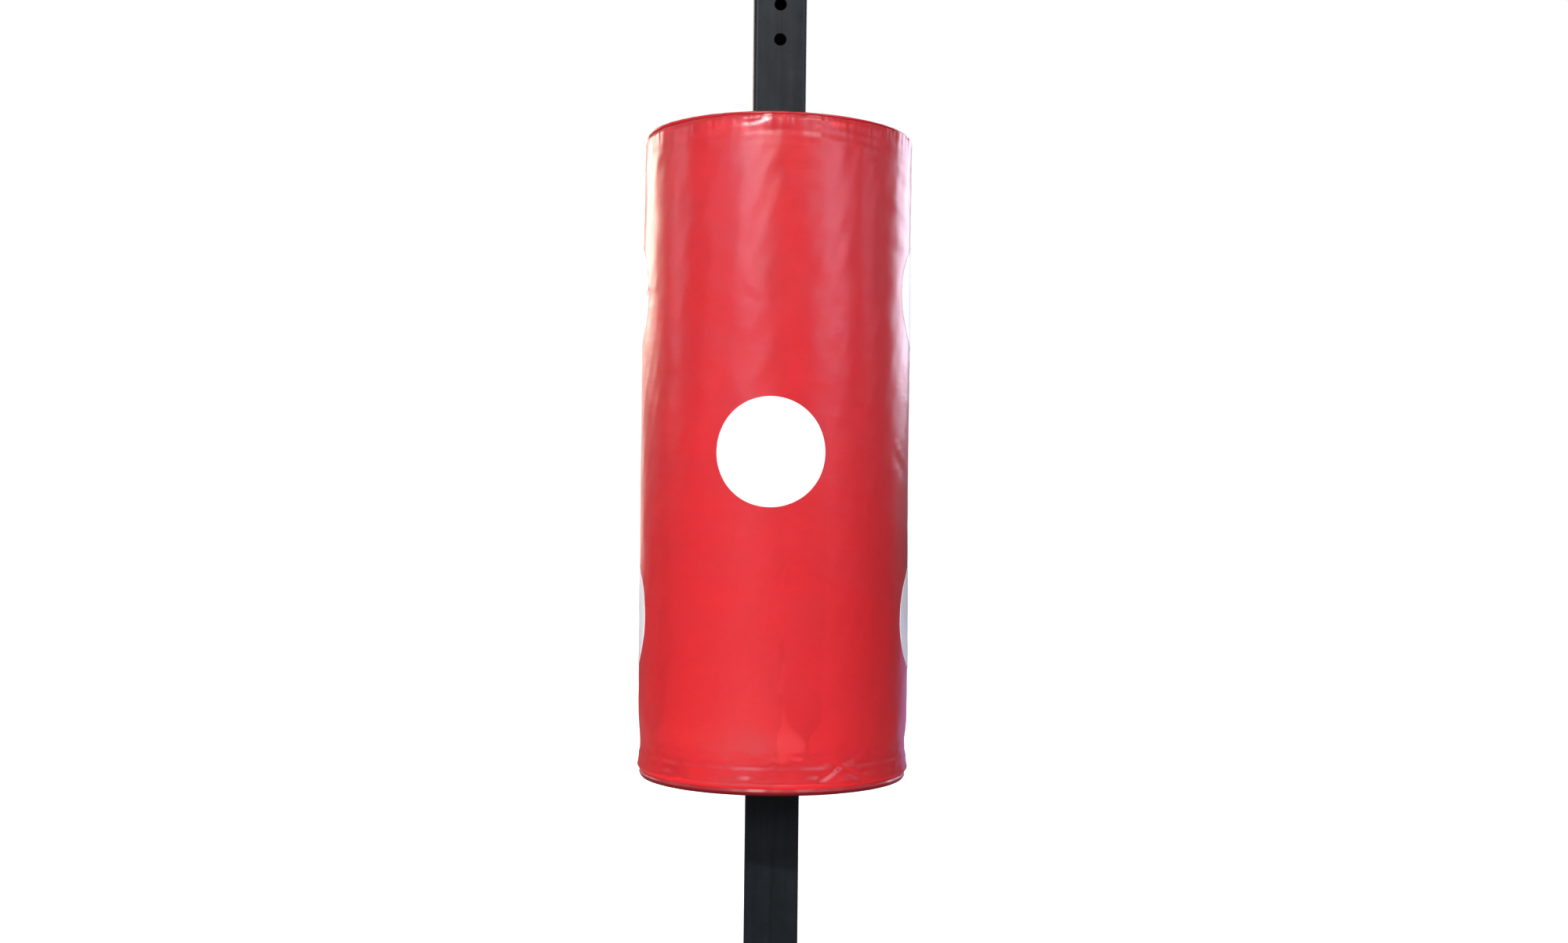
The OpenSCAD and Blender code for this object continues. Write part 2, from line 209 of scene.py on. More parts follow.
paint, tree, shader, place = finish("matt_white_floor_paint", "F7F7F5", roughness=0.75)
uneven = add(tree, "TexNoise", {"Vector": place, "Scale": cells(140), "Detail": 4.0})
rolled = add(tree, "Bump", {"Height": uneven.outputs[0], "Strength": 0.4, "Distance": 0.4 * MM})
tree.links.new(rolled.outputs[0], shader.inputs["Normal"])
by_camera = add(tree, "LightPath").outputs["Is Camera Ray"]
bounce = add(tree, "Mix", {0: by_camera, 6: linear("606060"), 7: linear("FAFAF8")}, data_type="RGBA")
glow = add(tree, "Math", {0: by_camera, 1: FLOOR_GLOW}, operation="MULTIPLY")
shader.inputs["Emission Color"].default_value = linear("FFFFFF")
tree.links.new(glow.outputs[0], shader.inputs["Emission Strength"])
tree.links.new(bounce.outputs[2], shader.inputs["Base Color"])
sheet = bpy.data.meshes.new("floor")
sheet.from_pydata([(x * FLOOR_HALF, y * FLOOR_HALF, 0) for x, y in ((-1, -1), (1, -1), (1, 1), (-1, 1))],
                  [], [(0, 1, 2, 3)])
sheet.materials.append(paint)
floor = bpy.data.objects.new("floor", sheet)
scene.collection.objects.link(floor)
print("floor is", 2 * FLOOR_HALF, "m across")

# %% [markdown]
# A vertical cylinder mirrors each light as an upright band, at half the light's angle round it.
# So each panel is placed by its angle from the camera's side, negative to the left, and by its
# height as seen from the pad. Its brightness is given as what the eye would see on its face, and
# the power that the lamp needs follows from its area. The low panels draw the bands on the back
# of the pad, the rims light its edges from behind, and the small keys cast the crisp shadows on
# the post. A weak violet panel low on the right gives the haze of that side. One more panel comes
# at the end of this file, once the pieces that it lights have been made.

# %% Light panels
AIM = Vector((0, 0, pad_low + pad_height / 2))
PANELS = [
    # name, angle, elevation, distance, width, height, brightness, colour
    ("right_window", 45, 16, 4.0, 1.8, 1.0, 3.7, "E2E2FF"),
    ("right_faint", 82, 15, 4.0, 0.8, 1.0, 1.8, "E6E0FF"),
    ("left_window", -25, 17, 4.0, 1.5, 1.0, 3.7, "EAE2FF"),
    ("left_faint", -52, 15, 4.0, 0.8, 1.0, 1.2, "F0E8FF"),
    ("left_narrow", -92, 15, 4.0, 0.7, 1.2, 2.7, "F4E8F4"),
    ("left_rim", -140, 17, 4.2, 1.6, 1.2, 8.0, "FFF1DC"),
    ("left_rim_low", -158, 4, 4.2, 1.2, 1.2, 2.0, "FFE6D4"),
    ("right_rim", 135, 15, 4.2, 2.4, 1.4, 5.5, "EDE9FF"),
    ("key_left", -16, 34, 4.5, 0.14, 0.14, 880.0, "FFFFFF"),
    ("key_right", 28, 32, 4.5, 0.14, 0.14, 330.0, "F4F8FF"),
    ("right_low", 146, -20, 1.4, 0.7, 0.35, 0.9, "B9A2F0"),
]


def panel(name, angle, elevation, distance, width, height, brightness, colour):
    """An area light that faces the middle of the pad and stays out of the camera's sight."""
    lamp = bpy.data.lights.new(name, "AREA")
    lamp.shape = "RECTANGLE"
    lamp.size, lamp.size_y = width, height
    lamp.energy = brightness * math.pi * width * height
    lamp.color = linear(colour)[:3]
    held = bpy.data.objects.new(name, lamp)
    a, e = math.radians(angle), math.radians(elevation)
    away = Vector((math.sin(a) * math.cos(e), -math.cos(a) * math.cos(e), math.sin(e)))
    held.location = AIM + away * distance
    held.rotation_euler = away.to_track_quat("Z", "Y").to_euler()
    held.visible_camera = False
    scene.collection.objects.link(held)
    return held


for row in PANELS:
    panel(*row)
print("panels:", len(PANELS))

# %% [markdown]
# ## Finishes of the cover
#
# The cover is PVC-coated polyester cloth, sold as vinyl. It is calendered between rollers: the
# surface is smooth with a faint leather grain, and it mirrors lights as soft, hazy bands. The
# plastic's refractive index is about 1.48, and its top lacquer mirrors a little more than that.
# Three things break up the gloss: the pressed grain, a shallow unevenness from the cloth and foam
# beneath, and patches dulled by handling. The grain is about 1 mm on the real thing, which is too
# fine to show, so it is drawn a little coarser. The unevenness lies in long low waves round the
# pad, because the cloth is pulled that way. The dulled patches differ only a little in roughness,
# so that no outline of a patch shows.

# %% Vinyl
GRAIN_MM, GRAIN_DEEP = 1.8, 0.008 * MM
PEEL_MM, PEEL_DEEP, PEEL_SQUEEZE = 26.0, 0.15 * MM, 3.5
BLOTCH_MM, HANDLED_MM = 120, 60
VINYL_IOR, LACQUER = 1.48, 0.75


def vinyl(name, colour, worn, low_roughness, high_roughness):
    """Coated cloth: worn is the colour of its rubbed patches."""
    material, tree, shader, place = finish(name, colour, roughness=low_roughness, ior=VINYL_IOR)
    blotches = add(tree, "TexNoise", {"Vector": place, "Scale": cells(BLOTCH_MM), "Detail": 3.0})
    tint = add(tree, "Mix", {0: blotches.outputs[0], 6: linear(colour), 7: linear(worn)}, data_type="RGBA")
    tree.links.new(tint.outputs[2], shader.inputs["Base Color"])
    handled = add(tree, "TexNoise", {"Vector": place, "Scale": cells(HANDLED_MM), "Detail": 3.0})
    dull = add(tree, "MapRange", {
        0: handled.outputs[0], 1: 0.2, 2: 0.8, 3: low_roughness, 4: high_roughness})
    tree.links.new(dull.outputs[0], shader.inputs["Roughness"])
    drawn = add(tree, "Mapping", {"Vector": place, "Scale": (1.0, 1.0, PEEL_SQUEEZE)})
    peel = add(tree, "TexNoise", {"Vector": drawn.outputs[0], "Scale": cells(PEEL_MM), "Detail": 2.0})
    soft = add(tree, "Bump", {"Height": peel.outputs[0], "Strength": 1.0, "Distance": PEEL_DEEP})
    grain = add(tree, "TexVoronoi", {"Vector": place, "Scale": cells(GRAIN_MM)}, feature="SMOOTH_F1")
    fine = add(tree, "Bump", {"Height": grain.outputs[0], "Strength": 1.0, "Distance": GRAIN_DEEP,
                              "Normal": soft.outputs[0]})
    tree.links.new(fine.outputs[0], shader.inputs["Normal"])
    shader.inputs["Specular IOR Level"].default_value = LACQUER
    return material


red_vinyl = vinyl("red_vinyl_coated_cloth", "C71D21", "C01F26", 0.28, 0.34)
white_vinyl = vinyl("white_vinyl_coated_cloth", "FBFBFA", "F4F4F2", 0.30, 0.42)
print("vinyl grain", GRAIN_MM, "mm")

# %% [markdown]
# Foam fills the pad and shows only where a wall of it is bare. The outer foam is polyurethane, cut
# from a block: open cells of about 2 mm with torn, fully matt walls. The inner foam is firmer and
# its cells are closed and smaller. Voronoi cells stand for the bubbles of both. The middle of each
# cell is the low pit of its bump and is painted darker there, as shade.

# %% Foam
SOFT_CELL_MM, FIRM_CELL_MM, CELL_DEEP = 2.2, 1.4, 0.4 * MM


def foam(name, colour, painted_pit_shade, cell_mm):
    """Cut plastic foam, with painted shade in the pits of its cells."""
    material, tree, shader, place = finish(name, colour, roughness=0.95)
    bubbles = add(tree, "TexVoronoi", {"Vector": place, "Scale": cells(cell_mm)})
    inside = bubbles.outputs["Distance"]
    # painted shade: the colour darkens toward each cell's middle, where the bump has its pit
    tint = add(tree, "Mix", {0: inside, 6: linear(painted_pit_shade), 7: linear(colour)}, data_type="RGBA")
    tree.links.new(tint.outputs[2], shader.inputs["Base Color"])
    torn = add(tree, "Bump", {"Height": inside, "Strength": 1.0, "Distance": CELL_DEEP})
    tree.links.new(torn.outputs[0], shader.inputs["Normal"])
    return material


soft_foam = foam("cream_polyurethane_foam", "E9DCB2", "B9A877", SOFT_CELL_MM)
firm_foam = foam("blue_closed_cell_foam", "5B7085", "3A4A5A", FIRM_CELL_MM)
print("foam cells", SOFT_CELL_MM, "and", FIRM_CELL_MM, "mm")

# %% [markdown]
# ## Making a piece
#
# Each new piece is a mesh made from lists of points and faces. One function turns them into an
# object, gives it its finishes, smooths it except at sharp edges, and ties it to the moving body
# that carries it. Most of the pad's pieces are grids that close round the pad, like knitting in
# the round, so another function gives the faces of such a grid. With loop=True the last row
# joins the first as well, which makes a closed ring of any cross-section. Where the rows run the
# other way, the faces are turned over so that they still face outwards, and a piece of many small
# closed shapes has them all turned outwards at once.

# %% Piece helpers
def piece(name, points, faces, finishes, body, face_finish=None, sharp=60):
    """A new mesh object on a body. face_finish gives each face's place in the list of finishes."""
    mesh = bpy.data.meshes.new(name)
    mesh.from_pydata(np.asarray(points).reshape(-1, 3).tolist(), [], [list(face) for face in faces])
    for material in finishes:
        mesh.materials.append(material)
    if face_finish is not None:
        mesh.polygons.foreach_set("material_index", np.asarray(face_finish, np.int32).ravel())
    mesh.polygons.foreach_set("use_smooth", np.ones(len(mesh.polygons), bool))
    mesh.set_sharp_from_angle(angle=math.radians(sharp))
    made = bpy.data.objects.new(name, mesh)
    scene.collection.objects.link(made)
    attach(made, body)
    return made


def turn_outwards(made):
    """Makes the faces of a piece's closed shapes face outwards."""
    shape = bmesh.new()
    shape.from_mesh(made.data)
    bmesh.ops.recalc_face_normals(shape, faces=shape.faces)
    shape.to_mesh(made.data)
    shape.free()


def round_angles(count):
    """That many equal steps round a full turn, in radians."""
    return np.arange(count) * TURN / count


def round_faces(rows, columns, loop=False):
    """Faces of a grid of points that closes round its columns, as an array of rows by columns by 4."""
    point = np.arange(rows * columns).reshape(rows, columns)
    beyond = np.roll(point, -1, 1)
    above, above_beyond = np.roll(point, -1, 0), np.roll(beyond, -1, 0)
    faces = np.stack([point, beyond, above_beyond, above], -1)
    return faces if loop else faces[:-1]


def turned_faces(rows, columns, loop=False):
    """The same faces turned over, one after another."""
    return round_faces(rows, columns, loop)[:, :, ::-1].reshape(-1, 4)


def at(radius, azimuth, height):
    """Points on the pad, given round it in its own turn, with heights from its underside."""
    turned = azimuth + pad_turn
    return np.stack(np.broadcast_arrays(
        radius * np.cos(turned), radius * np.sin(turned), pad_low + height), -1)


print("a ring of 4 by 6 points has", round_faces(4, 6, loop=True).size // 4, "faces")

# %% [markdown]
# ## The cover as cloth
#
# The side of the cover is a tube of coated cloth pulled over the foam and sewn at both ends. It is
# cut a little long, so it settles: it hangs from the top seam, gathers there, follows the foam's
# unevenness, and slumps into a soft roll above the bottom seam. Cloth simulation finds that shape.
# The tube starts as a plain cylinder grid, its two end rows are pinned as the seams, it grows by
# the slack, and it falls against a slightly uneven foam form. What is kept is how far each point
# moved in or out, which is capped, so that a stray fold can't spoil the cover.

# %% Foam form and cloth simulation
SEAM_LOW, SEAM_HIGH = 9.5 * MM, pad_height - 4 * MM
CLOTH_STEP = 6 * MM
CLOTH_SLACK, CLOTH_FRAMES = 0.0035, 24
CLOTH_ROOM, CLOTH_LIFT, CLOTH_GAP = 1.6 * MM, 0.6 * MM, 0.8 * MM
CLOTH_IN, CLOTH_OUT = -1.0 * MM, 2.4 * MM
WAVES = {
    # seed, number of waves, shortest wave and longest wave in metres, height of the relief
    "foam_form": (3, 24, 0.06, 0.30, 0.4 * MM),
    "side_broad": (11, 20, 0.11, 0.45, 0.55 * MM),
    "side_small": (12, 40, 0.022, 0.07, 0.16 * MM),
    "side_gathers": (13, 30, 0.0075, 0.016, 0.30 * MM),
    "rim_rise": (21, 8, 0.20, 0.9, 0.9 * MM),
    "rim_reach": (22, 8, 0.15, 0.6, 0.7 * MM),
    "top_gathers": (31, 26, 0.010, 0.028, 0.5 * MM),
    "top_broad": (32, 16, 0.05, 0.2, 0.35 * MM),
    "piping": (41, 30, 0.008, 0.03, 0.10 * MM),
    "bottom_broad": (51, 18, 0.03, 0.16, 0.35 * MM),
    "bottom_puffs": (52, 26, 0.02, 0.09, 0.45 * MM),
}


def unevenness(azimuth, height, kind):
    """Smooth random relief that closes round the pad: a sum of waves in every direction."""
    seed, count, shortest, longest, amount = WAVES[kind]
    draw = np.random.default_rng(seed)
    total = 0
    for _ in range(count):
        length = math.exp(draw.uniform(math.log(shortest), math.log(longest)))
        lean = draw.uniform(0, TURN)
        around = round(TURN * pad_radius / length * math.cos(lean))
        along = TURN / length * math.sin(lean)
        wave = np.cos(around * azimuth + along * height + draw.uniform(0, TURN))
        total = total + math.sqrt(length / longest) * wave
    return amount * total / math.sqrt(count / 2)


def tube(name, radius, azimuth, height):
    """A plain tube of cloth or foam for the simulation, standing on its own."""
    points = np.stack([radius * np.cos(azimuth), radius * np.sin(azimuth), height], -1)
    mesh = bpy.data.meshes.new(name)
    mesh.from_pydata(points.reshape(-1, 3).tolist(), [], round_faces(*height.shape).reshape(-1, 4).tolist())
    made = bpy.data.objects.new(name, mesh)
    scene.collection.objects.link(made)
    return made


def settled_cloth():
    """How far the cloth settles in or out of the pad's radius, by row of height and column of azimuth."""
    columns, rows = round(TURN * pad_radius / CLOTH_STEP), round(pad_height / CLOTH_STEP)
    azimuth, height = np.meshgrid(round_angles(columns), np.linspace(SEAM_LOW, SEAM_HIGH, rows))
    form_radius = pad_radius - CLOTH_ROOM + unevenness(azimuth, height, "foam_form")
    form = tube("foam_form", form_radius, azimuth, height)
    form.modifiers.new("solid", "COLLISION")
    form.collision.thickness_outer = CLOTH_GAP
    form.collision.cloth_friction = 8
    cloth = tube("cloth", np.full_like(height, pad_radius + CLOTH_LIFT), azimuth, height)
    seams = cloth.vertex_groups.new(name="seams")
    seams.add(list(range(columns)) + list(range((rows - 1) * columns, rows * columns)), 1.0, "REPLACE")
    settle = cloth.modifiers.new("settle", "CLOTH")
    settle.settings.quality = 6
    settle.settings.tension_stiffness = settle.settings.compression_stiffness = 60
    settle.settings.tension_damping = settle.settings.compression_damping = 25
    settle.settings.shear_stiffness, settle.settings.shear_damping = 40, 10
    settle.settings.bending_stiffness = 20
    settle.settings.vertex_group_mass = "seams"
    settle.settings.shrink_min = -CLOTH_SLACK
    settle.settings.effector_weights.gravity = 0.6
    settle.collision_settings.distance_min = CLOTH_GAP
    settle.collision_settings.collision_quality = 3
    settle.point_cache.frame_start, settle.point_cache.frame_end = 1, CLOTH_FRAMES
    for number in range(1, CLOTH_FRAMES + 1):
        scene.frame_set(number)
    scene.frame_set(CLOTH_FRAMES)
    rested = cloth.evaluated_get(bpy.context.evaluated_depsgraph_get()).to_mesh()
    places = np.zeros(3 * rows * columns, np.float32)
    rested.vertices.foreach_get("co", places)
    places = places.reshape(rows, columns, 3)
    for used in (cloth, form):
        bpy.data.objects.remove(used)
    scene.frame_set(1)
    return np.hypot(places[..., 0], places[..., 1]) - pad_radius


settled = settled_cloth()
print("cloth", settled.shape, "moved", np.round(1000 * np.array([settled.min(), settled.max()]), 2), "mm")

# %% [markdown]
# The simulated grid is coarser than the finished cover, so its relief is read between its points
# with smooth cubic curves: straight lines between them would show as facets in the gloss. Just
# above the bottom seam the simulated folds are tight and regular, so only a share of them is kept.

# %% Reading the settled cloth
def cubic(t):
    """Weights of the four points round a place between the middle two (Catmull-Rom)."""
    return [((2 - t) * t - 1) * t / 2, ((3 * t - 5) * t * t + 2) / 2, ((4 - 3 * t) * t + 1) * t / 2,
            (t - 1) * t * t / 2]


def cloth_relief(azimuth, height):
    """The settled cloth's relief at any place on the side of the cover."""
    rows, columns = settled.shape
    kept = np.clip(settled, CLOTH_IN, CLOTH_OUT)
    u = (azimuth % TURN) / TURN * columns
    v = np.clip((height - SEAM_LOW) / (SEAM_HIGH - SEAM_LOW), 0, 1) * (rows - 1)
    column, row = np.floor(u).astype(int), np.floor(v).astype(int)
    total = 0
    for i, across in enumerate(cubic(u - column)):
        for j, up in enumerate(cubic(v - row)):
            total = total + across * up * kept[np.clip(row + j - 1, 0, rows - 1), (column + i - 1) % columns]
    return total


middle_relief = float(cloth_relief(np.array(0.0), np.array(pad_height / 2)))
print("relief at mid height:", round(1000 * middle_relief, 2), "mm")

# %% [markdown]
# ## The shape of the side
#
# The settled cloth gives the broad shape. Use has added the rest: the skin stands a little proud
# of the foam, narrows to a waist above the bottom roll, and tucks in at both seams. Small creases
# lie where the pad was gripped or struck. Each crease is a short line between two places on the
# side, with a valley along it and a ridge beside it. The angles are in degrees round the pad and
# the heights in millimetres above its underside, because that is how one would measure them.

# %% Side of the cover
PROUD = 1.3 * MM
CREASES = [
    # start angle, start height, end angle, end height, bow, depth, width
    (253.5, 905.5, 266.5, 905.0, -6.0, 0.75, 3.4),
    (299.6, 36.5, 292.5, 22.0, 0.0, 1.3, 3.2),
    (299.6, 36.5, 311.0, 18.0, 1.5, 1.3, 3.2),
    (312.8, 58.0, 303.5, 44.0, 1.0, 0.7, 4.0),
    (259.5, 674.0, 266.8, 659.0, -3.0, 0.45, 3.6),
    (264.5, 679.0, 267.5, 668.0, 1.0, 0.3, 3.0),
    (297.5, 616.0, 302.5, 603.0, -2.5, 0.45, 3.4),
    (197.0, 682.0, 209.5, 679.0, 2.0, 1.1, 4.0),
    (331.0, 460.0, 341.5, 440.0, -2.0, 0.9, 5.0),
    (322.0, 800.0, 345.0, 772.0, 3.0, 1.0, 6.0),
    (326.0, 748.0, 348.0, 741.0, -3.0, 0.8, 5.0),
    (333.0, 846.0, 350.0, 820.0, 2.0, 0.9, 6.0),
    (240.0, 655.0, 252.0, 662.0, 2.0, 0.3, 5.0),
    (272.0, 640.0, 281.0, 634.0, -2.0, 0.25, 4.0),
    (75.0, 300.0, 92.0, 292.0, 3.0, 0.7, 5.0),
    (101.0, 640.0, 112.0, 622.0, -2.0, 0.6, 4.0),
    (38.0, 120.0, 47.0, 96.0, 2.0, 0.8, 5.0),
    (150.0, 44.0, 159.0, 25.0, 0.0, 1.2, 3.6),
]


def hump(distance, width):
    """From 1 in the middle down to 0, mostly within that width."""
    return np.exp(-(distance / width) ** 2)


def crease(azimuth, height, row):
    """Relief of one crease: a valley along its line, and a ridge on one side of it."""
    start, low, end, high, bow, depth, width = row
    to_mm = pad_radius / MM
    across = ((azimuth - math.radians(start) + math.pi) % TURN - math.pi) * to_mm
    up = height / MM - low
    run, rise = math.radians(end - start) * to_mm, high - low
    length = math.hypot(run, rise)
    along = (across * run + up * rise) / length
    aside = (up * run - across * rise) / length
    share = np.clip(along / length, 0, 1)
    aside = aside - 4 * bow * share * (1 - share)
    past = along - share * length
    fading = hump(past, 2 * width) * (0.35 + 0.65 * np.sin(math.pi * (0.15 + 0.7 * share)))
    valley = -hump(aside, width)
    ridge = 0.75 * hump(aside - 1.9 * width, 1.5 * width)
    return depth * MM * fading * (valley + ridge)


def smooth_step(x):
    """From 0 to 1 with level ends, as x goes from 0 to 1."""
    x = np.clip(x, 0, 1)
    return x * x * (3 - 2 * x)


LAP_AZIMUTH, LAP_STEP = math.radians(135), 0.9 * MM
RIM_ZONE = 45 * MM


def from_lap(azimuth):
    """How far a place lies past the lapped seam, in millimetres round the pad."""
    return ((azimuth - LAP_AZIMUTH + math.pi) % TURN - math.pi) * pad_radius / MM


def side_radius(azimuth, height):
    """Radius of the side of the cover at any place on it. Widths and heights in it are in millimetres."""
    h = height / MM
    below_top = (SEAM_HIGH - height) / MM
    above_seam = np.maximum(h - SEAM_LOW / MM, 0)
    cloth = cloth_relief(azimuth, height) * (0.35 + 0.65 * smooth_step((h - 40) / 70))
    broad = unevenness(azimuth, height, "side_broad")
    small = unevenness(azimuth, height, "side_small") * (1 + 0.8 * hump(below_top, 190))
    waist = -2.6 * MM * hump(h - 50, 21)
    roll = 1.1 * MM * hump(h - 19, 9)
    low_tuck = -3.4 * MM * hump(above_seam, 3.4)
    high_tuck = -2.9 * MM * hump(below_top, 3.6) * (0.55 - 0.45 * np.cos(azimuth))
    gathers = unevenness(azimuth, 0 * height, "side_gathers") * np.exp(-below_top / 11)
    rippling = np.sin(TURN * below_top / 15 + 2 * np.sin(3 * azimuth))
    ripples = 0.16 * MM * rippling * hump(below_top - 25, 16)
    past_lap = from_lap(azimuth)
    lap = LAP_STEP * smooth_step((past_lap + 9) / 1.5) * (1 - smooth_step((past_lap + 8) / 26))
    radius = pad_radius + PROUD + lap + cloth + broad + small + waist + roll
    radius = radius + low_tuck + high_tuck + gathers + ripples
    for row in CREASES:
        radius = radius + crease(azimuth, height, row)
    return radius


def rim_rise(azimuth):
    """How far the top seam wanders up or down on its way round."""
    return unevenness(azimuth, 0 * azimuth, "rim_rise")


def rim_reach(azimuth):
    """How far the top seam wanders in or out on its way round."""
    return unevenness(azimuth, 0 * azimuth, "rim_reach")


def side_place(azimuth, height):
    """Points on the side of the cover, which follows the top seam where that is near."""
    share = smooth_step((height - SEAM_HIGH + RIM_ZONE) / RIM_ZONE)
    radius = side_radius(azimuth, height) + share * rim_reach(azimuth)
    return at(radius, azimuth, height + share * rim_rise(azimuth))


sample = side_radius(np.linspace(0, TURN, 721), np.full(721, pad_height / 2))
print("radius at mid height", np.round(1000 * np.array([sample.min(), sample.max()]), 2), "mm")

# %% [markdown]
# ## Padded wrap
#
# The side of the cover and the foam behind it are one closed piece: a thick ring whose outside is
# vinyl and whose other walls are foam. One cross-section could be swept round the axis, but the
# creases differ at every angle, so the piece is a grid that is worked out point by point. The rows
# lie close together near the seams, where the shape turns quickly, and wider apart between them.
# The foam's underside leaves a channel for the zip. At both ends the vinyl turns in behind its
# seam, so that no foam shows past the edge.

# %% Padded wrap
WRAP_COLUMNS = 600
FOAM_SKIN = cover_thick + 0.4 * MM
PIPING_R, SEAM_GAP = 2.0 * MM, 0.3 * MM
LOW_TUCK, HIGH_TUCK = 6.0 * MM, 5.5 * MM
CLOSE_LOW, CLOSE_HIGH = 60 * MM, SEAM_HIGH - 50 * MM
CLOSE_ROWS, OPEN_ROWS = 26, 92

zip_in, zip_out = reach("zip_tape")
zip_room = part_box("zip_slider")[1].z - pad_low + 0.6 * MM
azimuth = round_angles(WRAP_COLUMNS)
side_heights = np.concatenate([
    np.linspace(SEAM_LOW, CLOSE_LOW, CLOSE_ROWS, endpoint=False),
    np.linspace(CLOSE_LOW, CLOSE_HIGH, OPEN_ROWS, endpoint=False),
    np.linspace(CLOSE_HIGH, SEAM_HIGH, CLOSE_ROWS)])
side_rows = [at(np.full(WRAP_COLUMNS, pad_radius - LOW_TUCK), azimuth, SEAM_LOW + SEAM_GAP)]
side_rows += [side_place(azimuth, np.full(WRAP_COLUMNS, height)) for height in side_heights]
tuck_height = side_rows[-1][:, 2] - pad_low + SEAM_GAP
side_rows.append(at(pad_radius - HIGH_TUCK + rim_reach(azimuth), azimuth, tuck_height))
foam_top, foam_low = pad_height - FOAM_SKIN, FOAM_SKIN
round_in = pad_radius - SEAM_LOW
corner = [(round_in + (SEAM_LOW - foam_low) * math.sin(a), SEAM_LOW - (SEAM_LOW - foam_low) * math.cos(a))
          for a in np.linspace(0, math.radians(25), 4)]
bare_foam = [
    (pad_radius - 7 * MM, foam_top - 1.5 * MM), (pad_radius - 10 * MM, foam_top),
    (foam_inside, foam_top), (foam_inside, foam_low),
    (zip_in - MM, foam_low), (zip_in - MM, zip_room), (zip_out + MM, zip_room), (zip_out + MM, foam_low),
    *corner]
foam_rows = [at(np.full(WRAP_COLUMNS, r), azimuth, h) for r, h in bare_foam]
wrap_faces = round_faces(len(side_rows) + len(foam_rows), WRAP_COLUMNS, loop=True)
is_foam = np.arange(len(wrap_faces)) >= len(side_rows) - 1
wrap = piece("padded_wrap", side_rows + foam_rows, wrap_faces.reshape(-1, 4), [red_vinyl, soft_foam],
             "pad", np.repeat(is_foam, WRAP_COLUMNS), sharp=75)
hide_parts("side_cover", "outer_foam")
print("padded wrap:", len(wrap.data.polygons), "faces")

# %% [markdown]
# ## Top of the cover
#
# A flat ring of vinyl closes the top. It is sewn to the side through a piping, which is a cord in
# a folded strip, and the pull of that seam gathers its edge. Between the seam and the bearing it
# bulges a little over the foam, and its inner edge is turned under as a hem. Like the wrap, it is
# a closed grid: up round the hem, out over the bulge, down at the seam and back underneath. Four
# eyelets let the air in and out, so the faces inside their bores are left out, and a wall of
# faces closes the cloth's edge all round each hole.

# %% Top cover
TOP_COLUMNS, TOP_WIDE_ROWS, TOP_CLOSE_ROWS, TOP_CLOSE = 480, 26, 16, 30 * MM
HEM_R, HEM_ANGLES = 1.1 * MM, (250, 210, 180, 140)
EYELET_COUNT, EYELET_HOLE = 4, 5.4 * MM
TOP_EDGE = pad_radius - 2 * PIPING_R - 0.2 * MM
eyelet_r = sum(reach("vent_eyelets")) / 2
eyelet_azimuths = [math.radians((i + 0.5) * 360 / EYELET_COUNT) for i in range(EYELET_COUNT)]


def top_level(radius, azimuth):
    """Height of the top cover's outer face."""
    share = (radius - hole_radius) / (TOP_EDGE - hole_radius)
    bulge = 1.6 * MM * np.sin(math.pi * np.clip(share, 0, 1)) ** 0.8
    from_seam = (TOP_EDGE - radius) / MM
    gathers = unevenness(azimuth, 0 * azimuth, "top_gathers") * np.exp(-from_seam / 14)
    wavy = unevenness(azimuth, radius, "top_broad") * np.sin(math.pi * np.clip(share, 0, 1))
    dip = -1.5 * MM * hump(from_seam, 5)
    return pad_height + bulge + gathers + wavy + dip + rim_rise(azimuth) * smooth_step(1 - from_seam / 40)


def under(point):
    """The point of the top cover's inner face below a point of its outer face."""
    row, column = divmod(point, TOP_COLUMNS)
    return (2 * len(hem) + 2 * len(outer) - 1 - row) * TOP_COLUMNS + column


azimuth = round_angles(TOP_COLUMNS)
radii = np.concatenate([
    np.linspace(hole_radius + HEM_R, TOP_EDGE - TOP_CLOSE, TOP_WIDE_ROWS, endpoint=False),
    np.linspace(TOP_EDGE - TOP_CLOSE, TOP_EDGE, TOP_CLOSE_ROWS)])
outer = [(r, top_level(np.full(TOP_COLUMNS, r), azimuth)) for r in radii]
hem = [(radii[0] + HEM_R * math.cos(a), outer[0][1] - HEM_R * (1 - math.sin(a)))
       for a in np.radians(HEM_ANGLES)]
inner = [(r, z - cover_thick) for r, z in reversed(outer)]
top_rows = [at(r, azimuth, z) for r, z in hem + outer + inner]
faces = turned_faces(len(top_rows), TOP_COLUMNS, loop=True)
points = np.asarray(top_rows).reshape(-1, 3)
middles = points[faces].mean(1)
bored = np.zeros(len(faces), bool)
for angle in eyelet_azimuths:
    centre = at(np.array(eyelet_r), np.array(angle), np.array(pad_height))
    bored |= np.hypot(*(middles - centre)[:, :2].T) < EYELET_HOLE
outer_bored = faces[bored & (faces.max(1) < (len(hem) + len(outer)) * TOP_COLUMNS)]
ways = {(int(a), int(b)) for face in outer_bored for a, b in zip(face, np.roll(face, -1))}
walls = [(a, b, under(b), under(a)) for a, b in sorted(ways) if (b, a) not in ways]
cover_top = piece("cover_top", points, faces[~bored].tolist() + walls, [red_vinyl], "pad")
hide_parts("top_cover")
print("top cover:", len(cover_top.data.polygons), "faces,", int(bored.sum()), "left out at the eyelets")

# %% [markdown]
# ## Piping and stitches
#
# The piping is a cord wrapped in a strip of the same vinyl and caught in the top seam. It wanders
# up, down, in and out with the seam, so it is a small circle carried round by the same functions
# that move the edge of the wrap. The strip is cut on the straight, so it wrinkles a little across.

# %% Piping in the top seam
PIPING_SIDES = 14

